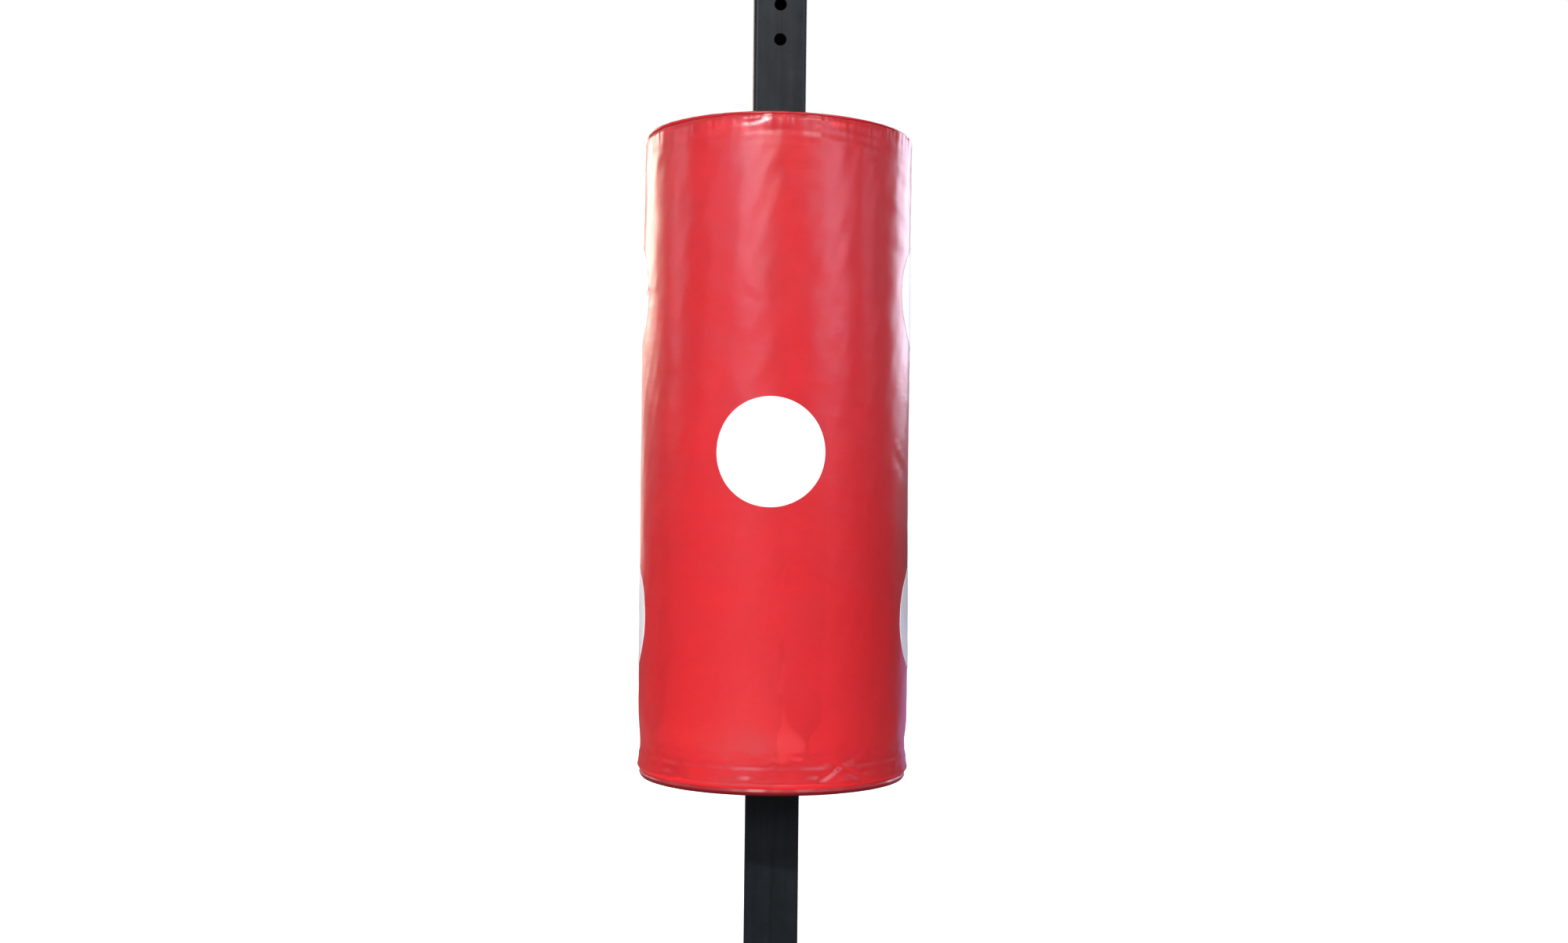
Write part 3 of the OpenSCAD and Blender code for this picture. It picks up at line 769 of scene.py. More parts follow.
azimuth = round_angles(WRAP_COLUMNS)
thick = PIPING_R + unevenness(azimuth, 0 * azimuth, "piping")
piping_middle = pad_radius - PIPING_R + rim_reach(azimuth)
piping_height = pad_height - PIPING_R + rim_rise(azimuth)
piping_rows = [at(piping_middle + thick * math.cos(a), azimuth, piping_height + thick * math.sin(a))
               for a in round_angles(PIPING_SIDES)]
piping = piece("rim_piping", piping_rows, round_faces(PIPING_SIDES, WRAP_COLUMNS, loop=True).reshape(-1, 4),
               [red_vinyl], "pad", sharp=90)
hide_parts("top_piping")
print("piping is", 2000 * PIPING_R, "mm thick")

# %% [markdown]
# Seams are sewn with heavy bonded polyester thread, dyed like the cover, in stitches of about
# 4 mm. A stitch is a short strand that comes out of the cloth, lies on it and goes back in, so
# each is modelled as a small bent spindle: thin at its ends, which sink below the surface, and
# full in the middle. One function lays such stitches along any line on the cover.

# %% Thread and the stitch maker
STITCH_SIDES = 6
STITCH_SHAPE = [  # place along the stitch, share of its thickness, and height in thicknesses
    (-0.50, 0.25, -0.7), (-0.36, 0.85, 0.1), (0.0, 1.0, 0.45), (0.36, 0.85, 0.1), (0.50, 0.25, -0.7)]

thread, tree, shader, place = finish("bonded_polyester_thread", "C9262C", roughness=0.55)
twist = add(tree, "TexWave", {"Vector": place, "Scale": waves(0.7), "Distortion": 1.5},
            wave_type="BANDS", bands_direction="DIAGONAL")
ply = add(tree, "Bump", {"Height": twist.outputs["Fac"], "Strength": 0.8, "Distance": 0.08 * MM})
tree.links.new(ply.outputs[0], shader.inputs["Normal"])
shader.inputs["Sheen Weight"].default_value = 0.2


def unit(vectors):
    """The same vectors, each made one unit long."""
    return vectors / np.linalg.norm(vectors, axis=-1, keepdims=True)


def stitches(name, middles, aheads, outs, length, thickness):
    """A row of stitches. Each has its middle, the way it runs and the way out of the cloth."""
    middles, aheads, outs = np.asarray(middles), unit(np.asarray(aheads)), unit(np.asarray(outs))
    asides = np.cross(aheads, outs)
    rows = []
    for along, full, lift in STITCH_SHAPE:
        centre = middles + aheads * along * length + outs * lift * thickness
        for a in round_angles(STITCH_SIDES):
            rows.append(centre + (asides * math.cos(a) + outs * math.sin(a)) * full * thickness / 2)
    points = np.stack(rows, 1)
    count, each = points.shape[:2]
    rings = np.arange(each).reshape(len(STITCH_SHAPE), STITCH_SIDES)
    following = np.roll(rings, -1, 1)
    sides = np.stack([rings[:-1], rings[1:], following[1:], following[:-1]], -1).reshape(-1, 4)
    shift = (np.arange(count) * each)[:, None, None]
    ends = [rings[0].tolist(), rings[-1][::-1].tolist()]
    faces = (sides[None] + shift).reshape(-1, 4).tolist()
    faces += [[p + each * i for p in end] for i in range(count) for end in ends]
    return piece(name, points, faces, [thread], "pad", sharp=80)


def round_the_pad(radius, level, pitch, first=0.0, sweep=TURN):
    """Places of stitches on a circle: their middles and the way each runs."""
    count = int(sweep * radius / pitch)
    azimuth = first + (np.arange(count) + 0.5) * sweep / count
    centre = at(np.full(count, radius), azimuth, level(np.full(count, radius), azimuth))
    ahead = np.stack([-np.sin(azimuth + pad_turn), np.cos(azimuth + pad_turn), 0 * azimuth], -1)
    return centre, ahead


print("thread finish ready, stitches of", len(STITCH_SHAPE), "rings")

# %% [markdown]
# Two rows of stitches show on the top cover: one holds the seam allowance beside the piping, and
# one holds the hem round the bearing.

# %% Stitches of the top cover
STITCH_PITCH, STITCH_LONG, THREAD_THICK = 4.2 * MM, 3.3 * MM, 0.7 * MM
SEAM_ROW, HEM_ROW = 6 * MM, 8 * MM
UP, DOWN = np.array([0.0, 0, 1]), np.array([0.0, 0, -1])

for name, radius in (("seam_stitches_top", TOP_EDGE - SEAM_ROW), ("hem_stitches_top", hole_radius + HEM_ROW)):
    centres, aheads = round_the_pad(radius, top_level, STITCH_PITCH)
    stitches(name, centres, aheads, np.broadcast_to(UP, centres.shape), STITCH_LONG, THREAD_THICK)
    print(name, len(centres))

# %% [markdown]
# The side is one length of cloth whose ends overlap in an upright seam, round at the front left.
# Two rows of stitches run down the overlap, a few millimetres in from its edge.

# %% Stitches of the lapped seam
LAP_ROWS_MM = (-5.5, 2.0)
LAP_FROM, LAP_TO = SEAM_LOW + 12 * MM, SEAM_HIGH - 10 * MM

heights = np.arange(LAP_FROM, LAP_TO, STITCH_PITCH)
for number, aside in enumerate(LAP_ROWS_MM, 1):
    azimuth = np.full(len(heights), LAP_AZIMUTH + aside * MM / pad_radius)
    out = np.stack([np.cos(azimuth + pad_turn), np.sin(azimuth + pad_turn), 0 * azimuth], -1)
    stitches(f"lap_stitches_{number}", side_place(azimuth, heights), np.broadcast_to(UP, out.shape), out,
             STITCH_LONG, THREAD_THICK)
    print("lap stitches", len(heights))

# %% [markdown]
# ## Eyelets
#
# The vent eyelets are pressed brass in two halves: the face half is a rolled flange on a short
# barrel, and the barrel's end is curled over behind the cloth. Both are turned shapes, so a
# cross-section is spun round the eyelet's own axis. The closed outline goes up the bore, over the
# domed flange, and back down outside the barrel.

# %% Brass eyelets
brass, tree, shader, place = finish("pressed_brass", "C79A4A", roughness=0.28, metallic=1.0)
tarnish = add(tree, "TexNoise", {"Vector": place, "Scale": cells(4), "Detail": 6.0})
tint = add(tree, "Mix", {0: tarnish.outputs[0], 6: linear("D2A95C"), 7: linear("9A7433")}, data_type="RGBA")
tree.links.new(tint.outputs[2], shader.inputs["Base Color"])
rub = add(tree, "MapRange", {0: tarnish.outputs[0], 1: 0.3, 2: 0.7, 3: 0.20, 4: 0.42})
tree.links.new(rub.outputs[0], shader.inputs["Roughness"])

EYELET_OUTLINE = [  # distance from the eyelet's axis and height above the cloth, in millimetres
    (4.0, -2.4), (4.0, 0.6), (4.15, 1.0), (4.5, 1.3), (5.2, 1.45), (6.0, 1.3), (7.0, 0.85), (7.7, 0.35),
    (7.95, 0.0), (7.6, -0.1), (5.2, -0.1), (4.9, -0.3), (4.9, -1.9), (5.6, -2.2), (5.4, -2.6), (4.6, -2.7)]
EYELET_SIDES = 40

eyelet_points, eyelet_faces = [], []
eyelet_ring = turned_faces(len(EYELET_OUTLINE), EYELET_SIDES, loop=True)
spin = round_angles(EYELET_SIDES)
for angle in eyelet_azimuths:
    level = float(top_level(np.array(eyelet_r), np.array(angle)))
    middle = at(np.array(eyelet_r), np.array(angle), np.array(level))
    first = len(eyelet_points)
    for r, z in EYELET_OUTLINE:
        eyelet_points += [middle + np.array([r * math.cos(a), r * math.sin(a), z]) * MM for a in spin]
    eyelet_faces.append(eyelet_ring + first)
eyelets = piece("vent_eyelets_brass", eyelet_points, np.concatenate(eyelet_faces), [brass],
                "pad", sharp=50)
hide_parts("vent_eyelets")
print("eyelets:", len(eyelet_azimuths))

# %% [markdown]
# ## Bottom of the cover
#
# The bottom is cut larger than the pad, and its edge turns up round the foam to meet the side in
# a low seam, 9.5 mm above the underside. That leaves a soft lobe below the seam. The ring also has
# a long curved slot for the zip. A sheet with a slot is easiest as one layer: the grid is made
# with a row on each edge of the slot, the faces between them are left out, and a Solidify
# modifier then gives the layer its thickness, inwards, and closes its rims. The slot starts one
# column of the grid before the zip does, which leaves room for the parked slider.

# %% Bottom cover
BOTTOM_COLUMNS = 576
ZIP_EDGE = 1.0 * MM
ROLL_R, ROLL_ANGLES = 1.8 * MM, (165, 135, 110, 90, 65, 35)
ROWS_INSIDE, ROWS_IN_SLOT, ROWS_OUTSIDE, ROWS_ON_LOBE = 20, 3, 8, 16

zip_angles = sorted((a - pad_turn) % TURN for a in azimuths("zip_teeth"))
gaps = [(b - a) % TURN for a, b in zip(zip_angles, zip_angles[1:] + zip_angles[:1])]
widest = max(range(len(gaps)), key=gaps.__getitem__)
zip_start = zip_angles[(widest + 1) % len(zip_angles)]
zip_sweep = TURN - gaps[widest]
zip_r = (zip_in + zip_out) / 2
slot_half = (reach("zip_slider")[1] - reach("zip_slider")[0]) / 2 + ZIP_EDGE
slot_in, slot_out = zip_r - slot_half, zip_r + slot_half
print(f"zip from {math.degrees(zip_start):.1f} degrees over {math.degrees(zip_sweep):.1f},",
      f"at radius {1000 * zip_r:.1f} mm")


def bottom_level(radius, azimuth):
    """Height of the bottom cover's outer face: flat near the zip, and sagging a little elsewhere."""
    away = np.abs(radius - zip_r) / MM
    free = smooth_step((away - 13) / 10)
    share = (zip_r - radius) / (zip_r - hole_radius)
    inward = smooth_step(share) * np.sin(math.pi * np.clip(share, 0, 1))
    waviness = unevenness(azimuth, radius, "bottom_broad")
    return -1.2 * MM * inward + free * waviness * (radius > hole_radius + 10 * MM)


def lobe(azimuth, angle):
    """Radius and height on the lobe below the bottom seam, from the seam at 0 to underneath at 90 degrees."""
    puff = unevenness(azimuth, 0 * azimuth, "bottom_puffs")
    tuck = -2.6 * MM * math.exp(-(angle / 0.30) ** 2)
    reach_out = pad_radius + 0.6 * MM - SEAM_LOW + (SEAM_LOW + puff) * math.cos(angle) ** 0.55 + tuck
    return reach_out, SEAM_LOW * (1 - math.sin(angle)) + puff * math.sin(angle) * 0.3


slot_start = zip_start - TURN / BOTTOM_COLUMNS
slot_sweep = zip_sweep + TURN / BOTTOM_COLUMNS
azimuth = slot_start + round_angles(BOTTOM_COLUMNS)
flat_radii = np.concatenate([
    np.linspace(hole_radius + ROLL_R, slot_in, ROWS_INSIDE),
    np.linspace(slot_in, slot_out, ROWS_IN_SLOT + 1)[1:],
    np.linspace(slot_out, pad_radius - SEAM_LOW, ROWS_OUTSIDE)[1:]])
bottom_rows = [at(hole_radius + ROLL_R * (1 - math.sin(a)), azimuth, ROLL_R * (1 - math.cos(a)))
               for a in np.radians(ROLL_ANGLES)]
bottom_rows += [at(np.full(BOTTOM_COLUMNS, r), azimuth, bottom_level(np.full(BOTTOM_COLUMNS, r), azimuth))
                for r in flat_radii]
for angle in np.radians(np.linspace(86, 0, ROWS_ON_LOBE)):
    r, z = lobe(azimuth, float(angle))
    bottom_rows.append(at(r, azimuth, z))
tucked = np.full(BOTTOM_COLUMNS, pad_radius - LOW_TUCK - 0.5 * MM)
bottom_rows.append(at(tucked, azimuth, SEAM_LOW - SEAM_GAP))
bottom_faces = round_faces(len(bottom_rows), BOTTOM_COLUMNS)
slot_columns = round(slot_sweep / TURN * BOTTOM_COLUMNS)
first_in_slot = len(ROLL_ANGLES) + ROWS_INSIDE - 1
keep = np.ones(bottom_faces.shape[:2], bool)
keep[first_in_slot:first_in_slot + ROWS_IN_SLOT, :slot_columns] = False
cover_bottom = piece("cover_bottom", bottom_rows, bottom_faces[keep], [red_vinyl], "pad")
thicken = cover_bottom.modifiers.new("cloth_thickness", "SOLIDIFY")
thicken.thickness, thicken.offset = cover_thick, -1
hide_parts("bottom_cover")
print("bottom cover:", len(cover_bottom.data.polygons), "faces, slot over", slot_columns, "columns")

# %% [markdown]
# The edges of the slot are bound with a narrow folded strip, and a row of stitches on each side
# holds the zip's tape to the inside of the cover. The binding is a small tube along the slot's
# outline, which goes out along one arc, across the end and back along the other.

# %% Binding of the slot and its stitches
BINDING_R, BINDING_SIDES, BINDING_LEVEL = 0.9 * MM, 10, 0.15 * MM
ARC_STEPS, END_STEPS = 320, 6
SLOT_ROW = 3 * MM


def tube_along(path, up, radius, sides):
    """A grid of points for a tube round a closed path, one row for each side of the tube."""
    ahead = unit(np.roll(path, -1, 0) - np.roll(path, 1, 0))
    out = unit(np.cross(ahead, up))
    lift = np.cross(out, ahead)
    return [path + (out * math.cos(a) + lift * math.sin(a)) * radius for a in round_angles(sides)]


arc = slot_start + np.linspace(0, slot_sweep, ARC_STEPS)
across = np.linspace(-slot_half, slot_half, END_STEPS + 2)[1:-1]
outline_r = np.concatenate([
    np.full(ARC_STEPS, slot_out), zip_r - across, np.full(ARC_STEPS, slot_in), zip_r + across])
outline_a = np.concatenate([arc, np.full(END_STEPS, arc[-1]), arc[::-1], np.full(END_STEPS, arc[0])])
binding_path = at(outline_r, outline_a, np.full(len(outline_r), BINDING_LEVEL))
binding = piece("slot_binding", tube_along(binding_path, UP, BINDING_R, BINDING_SIDES),
                turned_faces(BINDING_SIDES, len(binding_path), loop=True), [red_vinyl],
                "pad")
turn_outwards(binding)
for name, radius, first, sweep in (
        ("slot_stitches_inner", slot_in - SLOT_ROW, zip_start, zip_sweep),
        ("slot_stitches_outer", slot_out + SLOT_ROW, zip_start, zip_sweep),
        ("hem_stitches_bottom", hole_radius + HEM_ROW, 0.0, TURN)):
    centres, aheads = round_the_pad(radius, bottom_level, STITCH_PITCH, first, sweep)
    stitches(name, centres, aheads, np.broadcast_to(DOWN, centres.shape), STITCH_LONG, THREAD_THICK)
    print(name, len(centres))

# %% [markdown]
# ## Zip
#
# The zip is a heavy moulded one: acetal teeth shot straight onto the edges of a woven tape. Each
# tooth has a wide foot on the tape, a narrow neck and a wider head, and the heads of one side sit
# between the necks of the other. One tooth outline is drawn once and then set out along both
# sides of the arc, half a pitch apart, with its top and bottom edges chamfered.

# %% Zip teeth
acetal, tree, shader, place = finish("moulded_black_acetal", "2B2C2F", roughness=0.32, ior=1.48)
flow = add(tree, "TexNoise", {"Vector": place, "Scale": cells(3), "Detail": 3.0})
gloss = add(tree, "MapRange", {0: flow.outputs[0], 1: 0.3, 2: 0.7, 3: 0.29, 4: 0.42})
tree.links.new(gloss.outputs[0], shader.inputs["Roughness"])

TOOTH_PITCH = 2.5 * MM
TOOTH_HALF_OUTLINE = [  # from the zip's middle toward the tape, and along the zip, in millimetres
    (3.0, 0.8), (1.9, 0.8), (1.5, 0.42), (0.7, 0.42), (0.45, 0.58), (-0.35, 0.58), (-0.55, 0.3)]
TOOTH_LAYERS = [  # height from the tooth's middle in millimetres, and share of its full size
    (-1.2, 0.86), (-0.98, 1.0), (0.98, 1.0), (1.2, 0.86)]

half = np.array(TOOTH_HALF_OUTLINE)
outline = np.concatenate([half, half[::-1] * (1, -1)]) * MM
centre = outline.mean(0)
teeth_low, teeth_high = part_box("zip_teeth")
teeth_middle = (teeth_low.z + teeth_high.z) / 2 - pad_low
tooth_points, tooth_faces = [], []
corners = len(outline)
count = int(zip_sweep * zip_r / TOOTH_PITCH)
for side in (1, -1):
    for i in range(count):
        middle = zip_start + (i + 0.5 + 0.25 * side) * TOOTH_PITCH / zip_r
        first = len(tooth_points) * corners
        for level, share in TOOTH_LAYERS:
            shaped = centre + (outline - centre) * share
            tooth_points.append(at(zip_r + side * shaped[:, 0], middle + side * shaped[:, 1] / zip_r,
                                   np.full(corners, teeth_middle + level * MM)))
        last = first + (len(TOOTH_LAYERS) - 1) * corners
        tooth_faces += (turned_faces(len(TOOTH_LAYERS), corners) + first).tolist()
        tooth_faces.append(list(range(first, first + corners)))
        tooth_faces.append(list(range(last, last + corners))[::-1])
teeth = piece("zip_teeth_moulded", tooth_points, tooth_faces, [acetal], "pad", sharp=30)
turn_outwards(teeth)
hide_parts("zip_teeth")
print("zip teeth:", 2 * count)

# %% [markdown]
# ## Targets
#
# The targets are discs of white vinyl welded flat onto the red. A flat disc bends with the side
# without stretching, so each point keeps its distance round and up from the disc's middle, and is
# then set on the side of the cover at that place. The face stands half a millimetre proud, its rim
# is rounded over, and the piece closes just under the red surface.

# %% Targets
TARGET_R, TARGET_SIDES = 74 * MM, 128
TARGET_PROUD, TARGET_SUNK, TARGET_CENTRE = 0.55 * MM, -0.35 * MM, 3 * MM
TARGET_RIM = [  # in from the rim, and proud of the red, in millimetres
    (1.2, 0.55), (0.6, 0.52), (0.22, 0.40), (0.0, 0.15), (0.0, -0.35)]

target_rings = [(r, TARGET_PROUD) for r in np.linspace(TARGET_CENTRE, TARGET_R - 3 * MM, 26)]
target_rings += [(TARGET_R - inward * MM, proud * MM) for inward, proud in TARGET_RIM]
target_rings += [(r, TARGET_SUNK) for r in np.linspace(TARGET_R - 4 * MM, TARGET_CENTRE, 18)]
spin = round_angles(TARGET_SIDES)
targets = {}
for node in sorted(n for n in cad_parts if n.startswith("target_")):
    low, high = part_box(node)
    middle_azimuth = math.atan2((low.y + high.y) / 2, (low.x + high.x) / 2) - pad_turn
    middle_height = (low.z + high.z) / 2 - pad_low
    rows = []
    for r, proud in target_rings:
        azimuth = middle_azimuth + r * np.cos(spin) / pad_radius
        height = middle_height + r * np.sin(spin)
        rows.append(at(side_radius(azimuth, height) + proud, azimuth, height))
    faces = turned_faces(len(rows), TARGET_SIDES).tolist()
    faces.append(list(range(TARGET_SIDES)))
    faces.append(list(range((len(rows) - 1) * TARGET_SIDES, len(rows) * TARGET_SIDES))[::-1])
    disc = targets[node] = piece(node + "_disc", rows, faces, [white_vinyl], "pad", sharp=80)
    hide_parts(node)
print("targets:", 2 * TARGET_R / MM, "mm across")

# %% [markdown]
# ## Finishes of the post and the hidden parts
#
# The post is cold-formed steel tube with a baked powder coat. The powder melts into a satin skin
# with a fine orange peel of about 2 mm. The tube's lengthwise weld runs down the middle of the
# back and stays visible as a faint line under the coat. It was scarfed off when the tube was made
# and stands only a few hundredths of a millimetre proud, too low for a mesh of its own.

# %% Powder-coated steel
COAT = "20262C"
SEAM_WIDE, SEAM_PROUD, SEAM_TONE = 1.6 * MM, 0.04 * MM, 0.2
COAT_PEEL_MM, COAT_PEEL_DEEP = 2.2, 0.03 * MM

powder_coat, tree, shader, place = finish("powder_coated_steel", COAT, roughness=0.45)
drawn = add(tree, "Mapping", {"Vector": place, "Scale": (1.0, 1.0, 0.06)})
streaks = add(tree, "TexNoise", {"Vector": drawn.outputs[0], "Scale": cells(9), "Detail": 5.0})
dust = add(tree, "TexNoise", {"Vector": place, "Scale": cells(60), "Detail": 6.0, "Roughness": 0.7})
both = add(tree, "Math", {0: streaks.outputs[0], 1: dust.outputs[0]}, operation="MULTIPLY")
fade = add(tree, "MapRange", {0: both.outputs[0], 1: 0.15, 2: 0.40, 3: 0.0, 4: 1.0})
tint = add(tree, "Mix", {0: fade.outputs[0], 6: linear("23292B"), 7: linear("2F3638")}, data_type="RGBA")
parts = add(tree, "SeparateXYZ", {0: place})
from_line = add(tree, "Math", {0: parts.outputs[0]}, operation="ABSOLUTE")
on_line = add(tree, "MapRange", {0: from_line.outputs[0], 1: 0.0, 2: SEAM_WIDE, 3: 1.0, 4: 0.0},
              interpolation_type="SMOOTHSTEP")
post_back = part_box("post_tube")[0].y
behind = add(tree, "Math", {0: parts.outputs[1], 1: post_back + 2 * MM}, operation="LESS_THAN")
weld_line = add(tree, "Math", {0: on_line.outputs[0], 1: behind.outputs[0]}, operation="MULTIPLY")
weak = add(tree, "Math", {0: weld_line.outputs[0], 1: SEAM_TONE}, operation="MULTIPLY")
darker = add(tree, "Mix", {0: weak.outputs[0], 6: tint.outputs[2], 7: linear("1F2426")}, data_type="RGBA")
tree.links.new(darker.outputs[2], shader.inputs["Base Color"])
satin = add(tree, "MapRange", {0: dust.outputs[0], 1: 0.3, 2: 0.7, 3: 0.30, 4: 0.42})
tree.links.new(satin.outputs[0], shader.inputs["Roughness"])
raised = add(tree, "Bump", {"Height": weld_line.outputs[0], "Strength": 1.0, "Distance": SEAM_PROUD})
peel = add(tree, "TexNoise", {"Vector": place, "Scale": cells(COAT_PEEL_MM), "Detail": 1.0})
skin = add(tree, "Bump", {"Height": peel.outputs[0], "Strength": 1.0, "Distance": COAT_PEEL_DEEP,
                          "Normal": raised.outputs[0]})
tree.links.new(skin.outputs[0], shader.inputs["Normal"])
shader.inputs["Specular IOR Level"].default_value = 0.3
print("powder coat", COAT)

# %% [markdown]
# The cap and the bearings are plastic. The cap is black polyethylene with a fine spark-eroded
# texture from its mould. The bearings are turned from white polyethylene bar, so fine tool rings
# circle the axis and the surface is waxy: a little light enters it and comes out softened. The
# core is grey extruded PVC pipe with faint lines along it.

# %% Plastics
cap_plastic, tree, shader, place = finish("moulded_black_polyethylene", "1B1D1F", roughness=0.5, ior=1.51)
sparks = add(tree, "TexNoise", {"Vector": place, "Scale": cells(0.9), "Detail": 2.0})
eroded = add(tree, "Bump", {"Height": sparks.outputs[0], "Strength": 1.0, "Distance": 0.05 * MM})
tree.links.new(eroded.outputs[0], shader.inputs["Normal"])
scuffs = add(tree, "TexNoise", {"Vector": place, "Scale": cells(12), "Detail": 6.0})
dull = add(tree, "MapRange", {0: scuffs.outputs[0], 1: 0.35, 2: 0.65, 3: 0.42, 4: 0.62})
tree.links.new(dull.outputs[0], shader.inputs["Roughness"])

bearing_plastic, tree, shader, place = finish("turned_white_polyethylene", "ECE9E0", roughness=0.38, ior=1.51)
rings = add(tree, "TexWave", {"Vector": place, "Scale": waves(0.8), "Distortion": 0.3}, wave_type="RINGS",
            rings_direction="Z")
tooled = add(tree, "Bump", {"Height": rings.outputs["Fac"], "Strength": 0.6, "Distance": 0.03 * MM})
tree.links.new(tooled.outputs[0], shader.inputs["Normal"])
worn = add(tree, "TexNoise", {"Vector": place, "Scale": cells(20), "Detail": 5.0})
tint = add(tree, "Mix", {0: worn.outputs[0], 6: linear("F1EFE8"), 7: linear("D9D5CA")}, data_type="RGBA")
tree.links.new(tint.outputs[2], shader.inputs["Base Color"])
shader.inputs["Subsurface Weight"].default_value = 0.1
shader.inputs["Subsurface Radius"].default_value = (2 * MM, 2 * MM, 2 * MM)

core_plastic, tree, shader, place = finish("extruded_grey_pvc", "B9BBB8", roughness=0.35, ior=1.53)
along = add(tree, "Mapping", {"Vector": place, "Scale": (1.0, 1.0, 0.02)})
lines = add(tree, "TexNoise", {"Vector": along.outputs[0], "Scale": cells(2.5), "Detail": 4.0})
tint = add(tree, "Mix", {0: lines.outputs[0], 6: linear("C6C8C5"), 7: linear("A5A7A4")}, data_type="RGBA")
tree.links.new(tint.outputs[2], shader.inputs["Base Color"])
print("plastics ready")

# %% [markdown]
# The collars are black anodised aluminium, milled: the dye sits in a hard clear oxide, so they are
# metal that looks dark and satin, with fine tool marks. The screws are black-oxide steel with an
# oily sheen. The zip's slider and pull are nickel-plated zinc castings.

# %% Metals
collar_metal, tree, shader, place = finish("black_anodised_aluminium", "3A3D41", roughness=0.38, metallic=1.0)
milled = add(tree, "TexWave", {"Vector": place, "Scale": waves(1.2), "Distortion": 0.6, "Detail": 2.0},
             wave_type="BANDS", bands_direction="X")
marks = add(tree, "Bump", {"Height": milled.outputs["Fac"], "Strength": 0.5, "Distance": 0.015 * MM})
tree.links.new(marks.outputs[0], shader.inputs["Normal"])
dye = add(tree, "TexNoise", {"Vector": place, "Scale": cells(25), "Detail": 5.0})
satin = add(tree, "MapRange", {0: dye.outputs[0], 1: 0.3, 2: 0.7, 3: 0.32, 4: 0.46})
tree.links.new(satin.outputs[0], shader.inputs["Roughness"])

screw_steel, tree, shader, place = finish("black_oxide_steel", "46484B", roughness=0.34, metallic=1.0)
oil = add(tree, "TexNoise", {"Vector": place, "Scale": cells(2), "Detail": 4.0})
tint = add(tree, "Mix", {0: oil.outputs[0], 6: linear("54565A"), 7: linear("2C2E31")}, data_type="RGBA")
tree.links.new(tint.outputs[2], shader.inputs["Base Color"])

zip_metal, tree, shader, place = finish("nickel_plated_zinc", "B9B6AF", roughness=0.22, metallic=1.0)
handled = add(tree, "TexNoise", {"Vector": place, "Scale": cells(1.6), "Detail": 6.0})
rub = add(tree, "MapRange", {0: handled.outputs[0], 1: 0.3, 2: 0.7, 3: 0.14, 4: 0.36})
tree.links.new(rub.outputs[0], shader.inputs["Roughness"])
cast = add(tree, "Bump", {"Height": handled.outputs[0], "Strength": 0.5, "Distance": 0.02 * MM})
tree.links.new(cast.outputs[0], shader.inputs["Normal"])
print("metals ready")

# %% [markdown]
# The end plates are birch plywood. Its veneers are 1.4 mm thick and their grain turns by a quarter
# at each layer, so the edge shows light and dark stripes and the face shows long grain. The zip's
# tape is a twill of polyester yarns, a little under 1 mm apart.

# %% Plywood and woven tape
VENEER_MM, TWILL_MM = 1.4, 0.9

plywood, tree, shader, place = finish("birch_plywood", "CDAA78", roughness=0.6)
layers = add(tree, "TexWave", {"Vector": place, "Scale": waves(2 * VENEER_MM)},
             wave_type="BANDS", bands_direction="Z")
grain_way = add(tree, "Mapping", {"Vector": place, "Scale": (0.05, 1.0, 1.0)})
grain = add(tree, "TexNoise", {"Vector": grain_way.outputs[0], "Scale": cells(3.5), "Detail": 8.0,
                               "Roughness": 0.6})
wood = add(tree, "Mix", {0: grain.outputs[0], 6: linear("DDBD8C"), 7: linear("B48A57")}, data_type="RGBA")
edge = add(tree, "Mix", {0: layers.outputs["Fac"], 6: linear("C9A570"), 7: linear("8F6A40")},
           data_type="RGBA")
facing = add(tree, "SeparateXYZ", {0: add(tree, "NewGeometry").outputs["Normal"]})
flat = add(tree, "Math", {0: facing.outputs[2]}, operation="ABSOLUTE")
tint = add(tree, "Mix", {0: flat.outputs[0], 6: edge.outputs[2], 7: wood.outputs[2]}, data_type="RGBA")
tree.links.new(tint.outputs[2], shader.inputs["Base Color"])
pores = add(tree, "Bump", {"Height": grain.outputs[0], "Strength": 0.6, "Distance": 0.1 * MM})
tree.links.new(pores.outputs[0], shader.inputs["Normal"])

tape_cloth, tree, shader, place = finish("woven_polyester_tape", "26282B", roughness=0.8)
twill = add(tree, "TexWave", {"Vector": place, "Scale": waves(TWILL_MM)},
            wave_type="BANDS", bands_direction="DIAGONAL")
yarn = add(tree, "TexWave", {"Vector": place, "Scale": waves(TWILL_MM)},
           wave_type="RINGS", rings_direction="Z")
woven = add(tree, "Math", {0: twill.outputs["Fac"], 1: yarn.outputs["Fac"]}, operation="MULTIPLY")
tint = add(tree, "Mix", {0: woven.outputs[0], 6: linear("1E2022"), 7: linear("3A3D40")}, data_type="RGBA")
tree.links.new(tint.outputs[2], shader.inputs["Base Color"])
relief = add(tree, "Bump", {"Height": woven.outputs[0], "Strength": 1.0, "Distance": 0.15 * MM})
tree.links.new(relief.outputs[0], shader.inputs["Normal"])
shader.inputs["Sheen Weight"].default_value = 0.3
print("plywood and tape ready")

# %% [markdown]
# ## Finishes on the engineering parts
#
# The parts whose shape is already right stay as they are and only get their finish. Real edges are
# never knife sharp, and the thin bright line along an edge is what makes metal look solid. So each
# hard part also gets a small rounding that isn't saved in its mesh. A Weld modifier joins its split
# corners, a Decimate modifier joins the triangles of each flat face into one, a Bevel rounds the
# sharp edges, and a Weighted Normal keeps the flat faces flat. Without the second step the rounding
# would leave faint lines along the old triangles. The soft parts have a rounding of 0, so they get
# none of this.

